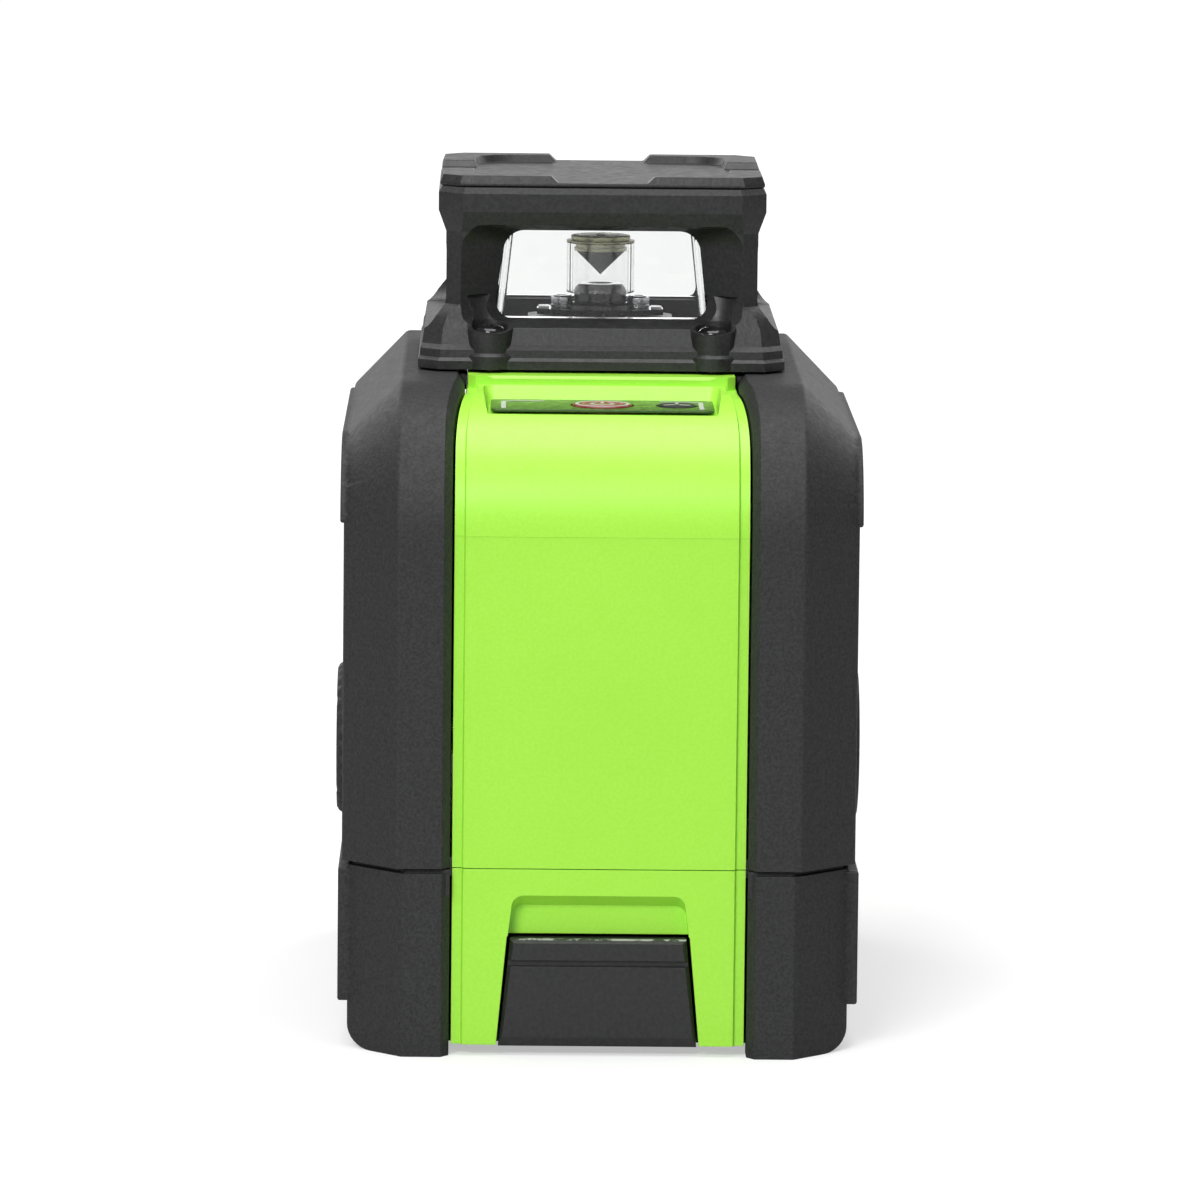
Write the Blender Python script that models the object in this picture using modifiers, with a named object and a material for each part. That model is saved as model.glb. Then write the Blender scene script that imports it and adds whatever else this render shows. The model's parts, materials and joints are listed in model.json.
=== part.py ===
"""Self-levelling cross-line laser level with a 360 degree cone mirror in a glass lantern.

Frame: +Z up, the keypad, lock knob and battery latch side faces -Y, and the origin is the
middle of the underside. Lengths below are in millimetres and are written out in metres.
"""
import math

import bmesh
import bpy
from mathutils import Matrix, Vector

MM = 0.001
GAP = 0.3                     # clearance between pieces that touch
SMOOTH_ANGLE = math.radians(35)

# Housing envelope
HALF_WIDTH = 32.7             # upper shells, side faces
BASE_HALF_WIDTH = 31.9        # base shells, slightly narrower
HALF_DEPTH = 52.0
TOP_Z = 84.4
SEAM_LOW = 23.5               # top of the base shells
SEAM_HIGH = 24.1              # bottom of the upper shells
EDGE_CHAMFER = 7.0            # one facet runs round the outer edge of each side
CREST_RADIUS = 18.0           # the rear wall rolls over into the top
SLOPE_TOP_Y = 32.0            # the front slope starts here on the top plane
SLOPE_FOOT_Z = 60.0           # and meets the front plane here
SPINE_HALF = 18.6             # green spine
SPINE_RECESS = 1.2            # the spine lies this far behind the rubber
SHELL_WALL = 3.0
SCREW_HOLE_RADIUS = 1.5
TOP_CUT = (76, 90)            # height range of the cutters that go down through the top
FRONT_WINDOW_HALF = (8.2, 10.7)
FRONT_WINDOW_CORNER = 2.2
FRONT_WINDOW_THICKNESS = 1.5
SPINE_INNER = 4.4             # inner face of the spine, measured from the rubber surface
BASE_WALL = 2.8
PANEL_INNER = 6.2             # inner face of the rear base panel

# Grip pads, knob and boss on the sides
PAD_OUT = 33.15
PAD_END_SLOPE = 1.8
PAD_ROOT = 1.0                # depth a pad reaches into the shell
PAD_FRONT_Y = 20.0
PAD_INSET = 6.5               # a pad's rear and upper ends follow the side's outline
UPPER_PAD_Z = (67.3, 90.0)
BASE_PAD_Z = (6.0, 23.2)
KNOB_Y = -17.0
KNOB_Z = 35.75
KNOB_RADIUS = 10.4
KNOB_OUT = 33.9
KNOB_POCKET_X = 30.1
KNOB_SEAT_X = (-31.0, -27.6)
KNOB_TAPER = 0.8
FINGER_WELL_Y = (3.0, 7.4)     # two wells beside the knob's grip bar
FINGER_WELL_HALF = 6.4
FINGER_WELL_X = -32.3
SHAFT_RADIUS = 2.0
CAM_RADIUS = 3.0
CAM_THROW = 2.4
CAM_X = (-22.0, -19.0)

# Keypad
KEYPAD_FLOOR = 81.0
KEYPAD_REAR_Y = -43.5
KEYPAD_FRONT_Y = -29.5
KEYPAD_HALF = 14.6
KEYPAD_RIM_Z = 84.0
KEYPAD_WALL_SLOPE = 2.4       # run of the sloped wall towards the lantern
LABEL_HALF = 14.2
LABEL_REAR_Y = -42.0
BUTTON_Y = -36.0
MODE_BUTTON_X = 9.5
BUTTON_TOP = 82.2
POWER_BUTTON_RADIUS = 3.8
MODE_BUTTON_RADIUS = 2.4
BUTTON_FOOT = 79.2
STEM_FOOT = 78.0

# Base
RECESS_HALF = 11.6
RECESS_TOP = 20.5
RECESS_FLOOR_Z = 15.3
RECESS_DEPTH = 2.4
RECESS_SLOPE_Z = 18.8         # the recess floor slopes outwards from here up
PANEL_LOW_Z = 1.4
LATCH_TOP = 15.0
LATCH_HALF_TOP = 11.2
LATCH_HALF_LOW = 12.2
LATCH_Y = (-50.6, -47.9)
LATCH_PIN_Y = -45.0
LATCH_PIN_Z = 5.0
LATCH_PIN_RADIUS = 0.7
LATCH_LUG_X = (5.9, 8.5)
LATCH_LUG_RADIUS = 1.6
GRIP_GROOVE_Z = (11.4, 12.4)
COVER_LUG_HALF = 5.5
COVER_HALF = 27.0
COVER_REAR_Y = -45.4
COVER_Z = (0.9, 2.9)
COVER_HINGE_Y = 33.2
COVER_HINGE_Z = 2.3
COVER_KNUCKLE = 1.5
COVER_PIN_RADIUS = 0.7
COVER_KNUCKLE_HALF = 8.1
HINGE_EAR_X = (8.4, 12.4)
FLOOR_REAR_Y = 35.2           # the fixed part of the underside, around the tripod thread
FLOOR_FRONT_Y = 47.4
FLOOR_Z = (1.2, 3.9)
TRIPOD_Y = 42.0
THREAD_RADIUS = 3.175         # 1/4 inch tripod thread
INSERT_RADIUS = 5.5
INSERT_TOP = 10.2
INSERT_BOSS_WALL = 1.4

# Battery bay: four AA cells lying along X
CELL_RADIUS = 7.25
CELL_BODY = 49.3
CELL_NIB = 1.2
CELL_PITCH = 15.6
CELL_Z = 11.4
CELL_SHIFT = 1.5              # each cell sits this far towards its flat contact
TRAY_HALF = 28.7
TRAY_WALL = 1.0
TRAY_HALF_DEPTH = 32.4
TRAY_Z = (3.9, 21.4)
STRIP_THICKNESS = 0.4
STRIP_HALF = 30.6
STRIP_Z = (5.2, 17.6)
CHASSIS_Z = (22.0, 24.4)
MAGNET_TAB_Y = (21.8, 23.3)
MAGNET_Y = (17.6, 21.5)
MAGNET_Z = (31.0, 40.0)
MAGNET_HALF = 5.0
SPRING_TURNS = 2.5
SPRING_WIRE = 0.45

# Lantern
LANTERN_Z = 84.7
LANTERN_FOOT = 23.3
PILLAR_HALF = 20.2
BEAM_HALF = 21.2
BEAM_TOP = 108.0
OBJECT_TOP = 109.5
NOTCH_HALF = 6.2              # notch in the middle of each side of the cap
WINDOW_Z = (91.0, 102.2)
GLASS_Z = (90.8, 104.0)
GLASS_HALF = (16.6, 15.2)
GLASS_WALL = 1.2
GLASS_CHAMFER = 3.0
BOSS_X = 14.4
BOSS_Y = 20.7
BOSS_RADIUS = 2.83
BOSS_TOP = 90.8

# Pendulum: everything here hangs on the gimbal pivot
PIVOT_Z = 62.0
RING_OUTER = 17.8
RING_INNER = 14.6
RING_Z = (59.6, 64.4)
PIN_RADIUS = 0.9
BRACKET_X = (19.5, 22.5)
BODY_BLOCK_Z = (44.8, 77.0)
TOWER_RADIUS = 7.2
TOWER_TOP = 89.6
WEIGHT_RADIUS = 13.0
WEIGHT_BOTTOM = 30.6
WEIGHT_TOP = 44.5
FORWARD_Z = 71.5
MODULE_RADIUS = 5.0
UP_MODULE_RADIUS = 3.2
FLANGE_Z = (89.9, 90.7)
COLLAR_TOP = 94.0
TUBE_Z = (92.8, 99.4)
TUBE_RADIUS = 4.475
MIRROR_APEX = 95.1
MIRROR_BASE = 98.4
FLANGE_SCREW_X = 5.05

# Lock slider
SLIDER_ARM_Z = (25.0, 26.6)
SLIDER_PAD_TOP = 27.6
SLIDER_RISER_X = (-18.7, -17.2)

# Colour, roughness and metallic value of each finish
FINISHES = {
    "green_plastic": ((0.40, 0.86, 0.09), 0.45, 0.0),
    "rubber": ((0.045, 0.045, 0.047), 0.75, 0.0),
    "black_plastic": ((0.022, 0.022, 0.024), 0.5, 0.0),
    "gloss_black": ((0.012, 0.012, 0.013), 0.15, 0.0),
    "red_plastic": ((0.55, 0.03, 0.03), 0.4, 0.0),
    "glass": ((0.85, 0.9, 0.9), 0.05, 0.0),
    "mirror": ((0.9, 0.9, 0.9), 0.05, 1.0),
    "aluminium": ((0.62, 0.63, 0.65), 0.35, 1.0),
    "steel": ((0.5, 0.5, 0.52), 0.3, 1.0),
    "brass": ((0.78, 0.58, 0.25), 0.3, 1.0),
    "board": ((0.03, 0.22, 0.08), 0.5, 0.0),
    "cell_wrap": ((0.09, 0.10, 0.12), 0.35, 0.0),
}


# ---------------------------------------------------------------- scene helpers

def clear_scene():
    for old in list(bpy.data.objects):
        bpy.data.objects.remove(old, do_unlink=True)


def new_collection(name):
    collection = bpy.data.collections.new(name)
    bpy.context.scene.collection.children.link(collection)
    return collection


def coat(name, finish):
    colour, roughness, metallic = FINISHES[finish]
    material = bpy.data.materials.new(name + "_" + finish)
    material.use_nodes = True
    shader = material.node_tree.nodes["Principled BSDF"]
    shader.inputs["Base Color"].default_value = (*colour, 1.0)
    shader.inputs["Roughness"].default_value = roughness
    shader.inputs["Metallic"].default_value = metallic
    material.diffuse_color = (*colour, 1.0)
    return material


def settle(body, origin, parent):
    """Put the object's origin at a point in millimetres, below its parent if it has one."""
    place = Vector(origin) * MM
    if parent is not None:
        body.parent = parent
        place = place - parent.location
    body.location = place


def part(mesh, finish, origin=(0, 0, 0), parent=None):
    """A sub-part from a mesh in place, with its origin at the given point."""
    body = bpy.data.objects.new(mesh.name, mesh)
    PARTS.objects.link(body)
    mesh.materials.append(coat(mesh.name, finish))
    mesh.shade_smooth()
    mesh.set_sharp_from_angle(angle=SMOOTH_ANGLE)
    mesh.transform(Matrix.Translation(-Vector(origin) * MM))
    settle(body, origin, parent)
    return body


def cutter(mesh):
    tool = bpy.data.objects.new(mesh.name, mesh)
    CUTTERS.objects.link(tool)
    tool.hide_render = True
    tool.display_type = "WIRE"
    return tool


def boolean(target, shape, operation):
    tool = shape if isinstance(shape, bpy.types.Object) else cutter(shape)
    step = target.modifiers.new(operation.lower(), "BOOLEAN")
    step.operation = operation
    step.solver = "EXACT"
    step.object = tool


def cut(target, *shapes):
    for shape in shapes:
        boolean(target, shape, "DIFFERENCE")


def join(target, *shapes):
    for shape in shapes:
        boolean(target, shape, "UNION")


def keep(target, *shapes):
    for shape in shapes:
        boolean(target, shape, "INTERSECT")


def joint_empty(name, origin, parent=None):
    """An empty on a joint's axis, for the pieces that turn or slide together."""
    empty = bpy.data.objects.new(name, None)
    PARTS.objects.link(empty)
    settle(empty, origin, parent)
    return empty


# ---------------------------------------------------------------- shapes, in millimetres

ALONG = {
    "X": Matrix.Rotation(math.radians(90), 4, "Y"),
    "Y": Matrix.Rotation(math.radians(-90), 4, "X"),
    "Z": Matrix.Identity(4),
}
# An outline (u, v) is drawn on the plane across the axis: X takes (y, z), Y takes (x, z).
DRAWN = {
    "X": Matrix(((0, 0, 1, 0), (1, 0, 0, 0), (0, 1, 0, 0), (0, 0, 0, 1))),
    "Y": Matrix(((1, 0, 0, 0), (0, 0, -1, 0), (0, 1, 0, 0), (0, 0, 0, 1))),
    "Z": Matrix.Identity(4),
}


def to_mesh(name, shape):
    mesh = bpy.data.meshes.new(name)
    bmesh.ops.recalc_face_normals(shape, faces=shape.faces)
    shape.to_mesh(mesh)
    shape.free()
    mesh.transform(Matrix.Scale(MM, 4))
    return mesh


def box(name, low, high):
    low, high = Vector(low), Vector(high)
    shape = bmesh.new()
    bmesh.ops.create_cube(shape, size=1.0)
    bmesh.ops.scale(shape, vec=high - low, verts=shape.verts)
    bmesh.ops.translate(shape, vec=(low + high) / 2, verts=shape.verts)
    return to_mesh(name, shape)


def rod(name, axis, centre, span, radius, segments=24, end_radius=None):
    """A cylinder or cone frustum along an axis, from span[0] to span[1] on that axis."""
    end_radius = radius if end_radius is None else end_radius
    shape = bmesh.new()
    bmesh.ops.create_cone(shape, cap_ends=True, segments=segments, radius1=radius,
                          radius2=end_radius, depth=span[1] - span[0])
    bmesh.ops.translate(shape, vec=(0, 0, (span[0] + span[1]) / 2), verts=shape.verts)
    bmesh.ops.transform(shape, matrix=ALONG[axis], verts=shape.verts)
    bmesh.ops.translate(shape, vec=centre, verts=shape.verts)
    return to_mesh(name, shape)


def prism(name, outlines, axis, span, end_scale=None):
    """Flat outlines, the outer one first, given thickness from span[0] to span[1].

    With end_scale, the face at the high end of the drawing is scaled, which makes a taper.
    """
    drawing = bpy.data.curves.new(name, "CURVE")
    drawing.dimensions = "2D"
    drawing.fill_mode = "BOTH"
    drawing.extrude = (span[1] - span[0]) / 2
    for outline in outlines:
        spline = drawing.splines.new("POLY")
        spline.points.add(len(outline) - 1)
        spline.use_cyclic_u = True
        for knot, (u, v) in zip(spline.points, outline):
            knot.co = (u, v, 0, 1)
    sketch = bpy.data.objects.new(name, drawing)
    CUTTERS.objects.link(sketch)
    bpy.context.view_layer.update()
    graph = bpy.context.evaluated_depsgraph_get()
    flat = bpy.data.meshes.new_from_object(sketch.evaluated_get(graph))
    bpy.data.objects.remove(sketch, do_unlink=True)
    bpy.data.curves.remove(drawing)
    shape = bmesh.new()
    shape.from_mesh(flat)
    bpy.data.meshes.remove(flat)
    bmesh.ops.remove_doubles(shape, verts=shape.verts, dist=0.001)
    if end_scale is not None:
        far = [corner for corner in shape.verts if corner.co.z > 0]
        bmesh.ops.scale(shape, vec=(*end_scale, 1), verts=far)
    middle = (span[0] + span[1]) / 2
    offset = -middle if axis == "Y" else middle
    bmesh.ops.translate(shape, vec=(0, 0, offset), verts=shape.verts)
    bmesh.ops.transform(shape, matrix=DRAWN[axis], verts=shape.verts)
    return to_mesh(name, shape)


def loft(name, rings):
    """A closed skin through rings of equally many points, capped at both ends."""
    shape = bmesh.new()
    layers = [[shape.verts.new(point) for point in ring] for ring in rings]
    count = len(rings[0])
    for near, far in zip(layers, layers[1:]):
        for index in range(count):
            after = (index + 1) % count
            shape.faces.new((near[index], near[after], far[after], far[index]))
    shape.faces.new(layers[0])
    shape.faces.new(layers[-1][::-1])
    return to_mesh(name, shape)


def frustum(name, halves, span, chamfer):
    """An upright four-sided frustum with chamfered corners."""
    shape = bmesh.new()
    root_two = math.sqrt(2)
    bmesh.ops.create_cone(shape, cap_ends=True, segments=4, radius1=halves[0] * root_two,
                          radius2=halves[1] * root_two, depth=span[1] - span[0])
    bmesh.ops.rotate(shape, cent=(0, 0, 0), matrix=Matrix.Rotation(math.radians(45), 3, "Z"),
                     verts=shape.verts)
    upright = [edge for edge in shape.edges
               if abs(edge.verts[0].co.z - edge.verts[1].co.z) > 1]
    bmesh.ops.bevel(shape, geom=upright, offset=chamfer / root_two, segments=1,
                    affect="EDGES", offset_type="WIDTH")
    bmesh.ops.translate(shape, vec=(0, 0, (span[0] + span[1]) / 2), verts=shape.verts)
    return to_mesh(name, shape)


def turned(name, profile, finish, origin=(0, 0, 0), axis="Z", steps=24, closed=False,
           parent=None, twist=0.0):
    """A turned piece. The profile's (radius, height) points run down its outer side, and a
    height is a world coordinate on the axis."""
    level = origin["XYZ".index(axis)]
    points = [(radius * MM, 0, (height - level) * MM) for radius, height in profile]
    edges = [(index, index + 1) for index in range(len(points) - 1)]
    if closed:
        edges.append((len(points) - 1, 0))
    mesh = bpy.data.meshes.new(name)
    mesh.from_pydata(points, edges, [])
    if finish is None:
        body = cutter(mesh)
    else:
        body = bpy.data.objects.new(name, mesh)
        PARTS.objects.link(body)
        mesh.materials.append(coat(name, finish))
    settle(body, origin, parent)
    body.rotation_euler = (Matrix.Rotation(twist, 4, "Z") @ ALONG[axis]).to_euler()
    turn = body.modifiers.new("turn", "SCREW")
    turn.steps = steps
    turn.render_steps = steps
    turn.use_merge_vertices = True
    turn.merge_threshold = 0.00001
    turn.use_smooth_shade = steps > 8
    return body


def arc(centre, radius, start, end, steps):
    """Points along an arc, angles in degrees."""
    turns = [math.radians(start + (end - start) * step / steps) for step in range(steps + 1)]
    return [(centre[0] + radius * math.cos(turn), centre[1] + radius * math.sin(turn))
            for turn in turns]


def chamfered_rectangle(half_u, half_v, chamfer):
    return [(half_u, half_v - chamfer), (half_u - chamfer, half_v),
            (chamfer - half_u, half_v), (-half_u, half_v - chamfer),
            (-half_u, chamfer - half_v), (chamfer - half_u, -half_v),
            (half_u - chamfer, -half_v), (half_u, chamfer - half_v)]


def rounded_rectangle(half_u, half_v, radius, steps=3, centre=(0, 0)):
    u, v = half_u - radius, half_v - radius
    points = []
    for sign_u, sign_v, start in ((1, 1, 0), (-1, 1, 90), (-1, -1, 180), (1, -1, 270)):
        middle = (centre[0] + sign_u * u, centre[1] + sign_v * v)
        points += arc(middle, radius, start, start + 90, steps)
    return points


# ---------------------------------------------------------------- housing envelope

def side_outline(inset):
    """The housing seen from the side, as (y, z), moved inwards by inset."""
    rear, front, top = inset - HALF_DEPTH, HALF_DEPTH - inset, TOP_Z - inset
    crest = (CREST_RADIUS - HALF_DEPTH, TOP_Z - CREST_RADIUS)
    run, drop = HALF_DEPTH - SLOPE_TOP_Y, TOP_Z - SLOPE_FOOT_Z
    length = math.hypot(run, drop)
    across = (drop * SLOPE_TOP_Y + run * TOP_Z) / length - inset
    slope_y = (across * length - run * top) / drop
    slope_z = (across * length - drop * front) / run
    return ([(front, -5), (front, slope_z), (slope_y, top)]
            + arc(crest, CREST_RADIUS - inset, 90, 180, 10) + [(rear, -5)])


def envelope(name, inset, half_width=HALF_WIDTH):
    """The housing as a solid, moved inwards by inset."""
    chamfer = EDGE_CHAMFER - inset * (2 - math.sqrt(2))
    half = half_width - inset
    sections = ((-half, inset + chamfer), (chamfer - half, inset),
                (half - chamfer, inset), (half, inset + chamfer))
    return cutter(loft(name, [[(x, y, z) for y, z in side_outline(depth)]
                              for x, depth in sections]))


def mirrored(points, side):
    """Outline points with x turned to the given side."""
    return [(side * u, v) for u, v in points]


# ---------------------------------------------------------------- upper housing

def make_side_shell(name, side, outer, inner):
    """One rubber-covered upper side shell, with its grip pad."""
    low, high = sorted((side * (SPINE_HALF + GAP), side * 45))
    shell = part(box(name, (low, -60, SEAM_HIGH), (high, 60, 95)), "rubber")
    keep(shell, outer)
    join(shell, grip_pad(name + "_pad", side, HALF_WIDTH, UPPER_PAD_Z))
    cut(shell, inner)
    return shell


def grip_pad(name, side, face, span):
    """A low raised bar along a side face, sloped at its front end."""
    rear = PAD_INSET - HALF_DEPTH - 1.0
    outline = [(face - PAD_ROOT, rear), (PAD_OUT, rear), (PAD_OUT, PAD_FRONT_Y - PAD_END_SLOPE),
               (face - PAD_ROOT, PAD_FRONT_Y)]
    pad = cutter(prism(name, [mirrored(outline, side)], "Z", span))
    keep(pad, prism(name + "_side", [side_outline(PAD_INSET)], "X", (-60, 60)))
    return pad


def make_left_shell(outer, inner):
    """The lock knob turns in a round pocket in this shell."""
    shell = make_side_shell("left_side_shell", -1, outer, inner)
    seat = (0, KNOB_Y, KNOB_Z)
    join(shell, rod("knob_seat", "X", seat, KNOB_SEAT_X, KNOB_RADIUS + 1.1))
    cut(shell, rod("knob_pocket", "X", seat, (-36, -KNOB_POCKET_X), KNOB_RADIUS + 0.4, 32))
    cut(shell, rod("knob_bore", "X", seat, (-36, -20), SHAFT_RADIUS + 0.4))


def make_right_shell(outer, inner):
    """A round boss on this shell matches the knob."""
    shell = make_side_shell("right_side_shell", 1, outer, inner)
    join(shell, rod("boss", "X", (0, KNOB_Y, KNOB_Z), (30.5, KNOB_OUT), KNOB_RADIUS, 32,
                    KNOB_RADIUS - KNOB_TAPER))


def make_rear_spine(outer, inner):
    spine = part(box("rear_spine", (-SPINE_HALF, -60, SEAM_HIGH), (SPINE_HALF, -17, 95)),
                 "green_plastic")
    keep(spine, outer)
    cut(spine, inner)
    pocket = [(KEYPAD_REAR_Y, KEYPAD_FLOOR), (KEYPAD_FRONT_Y, KEYPAD_FLOOR),
              (KEYPAD_FRONT_Y + KEYPAD_WALL_SLOPE, KEYPAD_RIM_Z), (KEYPAD_REAR_Y, KEYPAD_RIM_Z)]
    cut(spine, prism("keypad_pocket", [pocket], "X", (-KEYPAD_HALF, KEYPAD_HALF)))
    cut_button_holes(spine)
    cut_screw_holes(spine, -BOSS_Y)


def cut_button_holes(target):
    cut(target, rod("power_hole", "Z", (0, BUTTON_Y, 0), TOP_CUT, POWER_BUTTON_RADIUS + GAP))
    cut(target, rod("mode_hole", "Z", (MODE_BUTTON_X, BUTTON_Y, 0), TOP_CUT,
                    MODE_BUTTON_RADIUS + GAP, 16))


def cut_screw_holes(target, y):
    for side in (-1, 1):
        cut(target, rod("screw_hole", "Z", (side * BOSS_X, y, 0), TOP_CUT,
                        SCREW_HOLE_RADIUS, 12))


def make_front_spine(outer, inner):
    spine = part(box("front_spine", (-SPINE_HALF, 17, SEAM_HIGH), (SPINE_HALF, 60, 95)),
                 "green_plastic")
    keep(spine, outer)
    cut(spine, inner)
    half_u, half_v = FRONT_WINDOW_HALF
    opening = prism("window_opening", [rounded_rectangle(half_u + GAP, half_v + GAP,
                                                         FRONT_WINDOW_CORNER + GAP)],
                    "Z", (-8, 8))
    opening.transform(slope_place(0))
    cut(spine, opening)
    cut_screw_holes(spine, BOSS_Y)


def slope_place(depth):
    """Takes a flat piece from the origin to the middle of the front slope, below its face."""
    run, drop = HALF_DEPTH - SLOPE_TOP_Y, TOP_Z - SLOPE_FOOT_Z
    tilt = math.atan2(drop, run)
    outwards = Vector((0, math.sin(tilt), math.cos(tilt)))
    middle = Vector((0, SLOPE_TOP_Y + run / 2, TOP_Z - drop / 2)) - outwards * depth
    return Matrix.Translation(middle * MM) @ Matrix.Rotation(-tilt, 4, "X")


def make_front_window():
    half = FRONT_WINDOW_THICKNESS / 2
    pane = prism("front_window", [rounded_rectangle(*FRONT_WINDOW_HALF, FRONT_WINDOW_CORNER)],
                 "Z", (-half, half))
    pane.transform(slope_place(SPINE_RECESS + 1.2))
    part(pane, "glass")


# ---------------------------------------------------------------- base

def make_base_shell(name, side, outer, inner):
    """One rubber-covered base shell. Its underside is what the level stands on."""
    near = SPINE_HALF + GAP
    outline = ([(near, SEAM_LOW), (near, 0)]
               + arc((BASE_HALF_WIDTH - 3.0, 3.0), 3.0, 270, 360, 4)
               + [(BASE_HALF_WIDTH, SEAM_LOW)])
    shell = part(prism(name, [mirrored(outline, side)], "Y", (-60, 60)), "rubber")
    keep(shell, outer)
    join(shell, grip_pad(name + "_pad", side, BASE_HALF_WIDTH, BASE_PAD_Z))
    cut(shell, inner)
    cut(shell, box("cover_opening", (-COVER_HALF - GAP, COVER_REAR_Y - GAP, -2),
                   (COVER_HALF + GAP, FLOOR_FRONT_Y + GAP, 5)))


def make_base_rear_panel(outer, inner):
    """Green panel with the finger recess above the latch."""
    panel = part(box("base_rear_panel", (-SPINE_HALF, -60, PANEL_LOW_Z),
                     (SPINE_HALF, -40, SEAM_LOW)), "green_plastic")
    keep(panel, outer)
    cut(panel, inner)
    floor_y = SPINE_RECESS + RECESS_DEPTH - HALF_DEPTH
    recess = [(-60, RECESS_FLOOR_Z), (floor_y, RECESS_FLOOR_Z), (floor_y, RECESS_SLOPE_Z),
              (SPINE_RECESS - HALF_DEPTH - 0.2, RECESS_TOP), (-60, RECESS_TOP)]
    cut(panel, prism("finger_recess", [recess], "X", (-RECESS_HALF, RECESS_HALF)))
    opening = [(-LATCH_HALF_LOW - 0.5, -2), (LATCH_HALF_LOW + 0.5, -2),
               (LATCH_HALF_TOP + 0.5, RECESS_FLOOR_Z + 0.1),
               (-LATCH_HALF_TOP - 0.5, RECESS_FLOOR_Z + 0.1)]
    cut(panel, prism("latch_opening", [opening], "Y", (-60, -40)))


def make_base_front_panel(outer, inner):
    """Green front panel in one piece with the floor that carries the tripod insert."""
    panel = part(box("base_front_panel", (-SPINE_HALF, 40, PANEL_LOW_Z),
                     (SPINE_HALF, 60, SEAM_LOW)), "green_plastic")
    keep(panel, outer)
    cut(panel, inner)
    low, high = FLOOR_Z
    join(panel, box("floor", (-COVER_HALF, FLOOR_REAR_Y, low),
                    (COVER_HALF, FLOOR_FRONT_Y, high)))
    join(panel, box("floor_root", (-SPINE_HALF + 0.5, FLOOR_FRONT_Y - 1, low + 0.4),
                    (SPINE_HALF - 0.5, HALF_DEPTH - 3, high - 0.2)))
    join(panel, rod("insert_boss", "Z", (0, TRIPOD_Y, 0), (low + 0.1, INSERT_TOP + 0.4),
                    INSERT_RADIUS + INSERT_BOSS_WALL))
    hinge = (0, COVER_HINGE_Y, COVER_HINGE_Z)
    for side in (-1, 1):
        span = sorted(side * end for end in HINGE_EAR_X)
        join(panel, rod("hinge_ear", "X", hinge, span, COVER_KNUCKLE, 16))
        join(panel, box("ear_root", (span[0], COVER_HINGE_Y, low + 0.2),
                        (span[1], FLOOR_REAR_Y + 0.8, COVER_HINGE_Z + COVER_KNUCKLE - 0.1)))
    cut(panel, rod("insert_hole", "Z", (0, TRIPOD_Y, 0), (-2, 14), INSERT_RADIUS + GAP))
    cut(panel, rod("ear_bore", "X", hinge, (-20, 20), COVER_PIN_RADIUS + GAP, 12))


def make_tripod_insert():
    low = FLOOR_Z[0]
    turned("tripod_insert", [(THREAD_RADIUS, INSERT_TOP), (INSERT_RADIUS, INSERT_TOP),
                             (INSERT_RADIUS, low), (THREAD_RADIUS, low)],
           "brass", origin=(0, TRIPOD_Y, low), closed=True)


def make_battery_cover(pivot):
    low, high = COVER_Z
    hinge = (0, COVER_HINGE_Y, COVER_HINGE_Z)
    cover = part(box("battery_cover", (-COVER_HALF, COVER_REAR_Y, low),
                     (COVER_HALF, COVER_HINGE_Y - 2.0, high)), "black_plastic", hinge, pivot)
    join(cover, box("knuckle_root", (-8, COVER_HINGE_Y - 3, low + 0.1),
                    (8, COVER_HINGE_Y, high - 0.1)))
    join(cover, rod("knuckle", "X", hinge, (-COVER_KNUCKLE_HALF, COVER_KNUCKLE_HALF),
                    COVER_KNUCKLE, 16))
    join(cover, box("latch_lug", (-COVER_LUG_HALF, LATCH_PIN_Y - 1.8, low + 0.1),
                    (COVER_LUG_HALF, LATCH_PIN_Y + 1.8, LATCH_PIN_Z + 1.8)))
    cut(cover, rod("knuckle_bore", "X", hinge, (-20, 20), COVER_PIN_RADIUS + GAP, 12))
    cut(cover, rod("lug_bore", "X", (0, LATCH_PIN_Y, LATCH_PIN_Z), (-20, 20),
                   LATCH_PIN_RADIUS + GAP, 12))


def make_cover_hinge_pin():
    hinge = (0, COVER_HINGE_Y, COVER_HINGE_Z)
    part(rod("cover_hinge_pin", "X", hinge, (-12.3, 12.3), COVER_PIN_RADIUS, 12), "steel")


def make_battery_latch(pivot):
    """A tab over the rear face, on two lugs around the latch pin."""
    axis = (0, LATCH_PIN_Y, LATCH_PIN_Z)
    tab = [(-LATCH_HALF_LOW, 1.1), (LATCH_HALF_LOW, 1.1), (LATCH_HALF_TOP, LATCH_TOP),
           (-LATCH_HALF_TOP, LATCH_TOP)]
    latch = part(prism("battery_latch", [tab], "Y", LATCH_Y), "black_plastic", axis, pivot)
    cut(latch, box("grip_groove", (-20, LATCH_Y[0] - 1, GRIP_GROOVE_Z[0]),
                   (20, LATCH_Y[0] + 0.6, GRIP_GROOVE_Z[1])))
    for side in (-1, 1):
        span = sorted(side * end for end in LATCH_LUG_X)
        join(latch, rod("latch_lug", "X", axis, span, LATCH_LUG_RADIUS, 16))
        join(latch, box("lug_root", (span[0], LATCH_Y[1] - 0.3, LATCH_PIN_Z - 1.4),
                        (span[1], LATCH_PIN_Y, LATCH_PIN_Z + 1.4)))
    cut(latch, rod("latch_bore", "X", axis, (-20, 20), LATCH_PIN_RADIUS + GAP, 12))


def make_latch_pin(pivot):
    axis = (0, LATCH_PIN_Y, LATCH_PIN_Z)
    part(rod("latch_pin", "X", axis, (-8.8, 8.8), LATCH_PIN_RADIUS, 12), "steel", axis, pivot)


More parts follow.
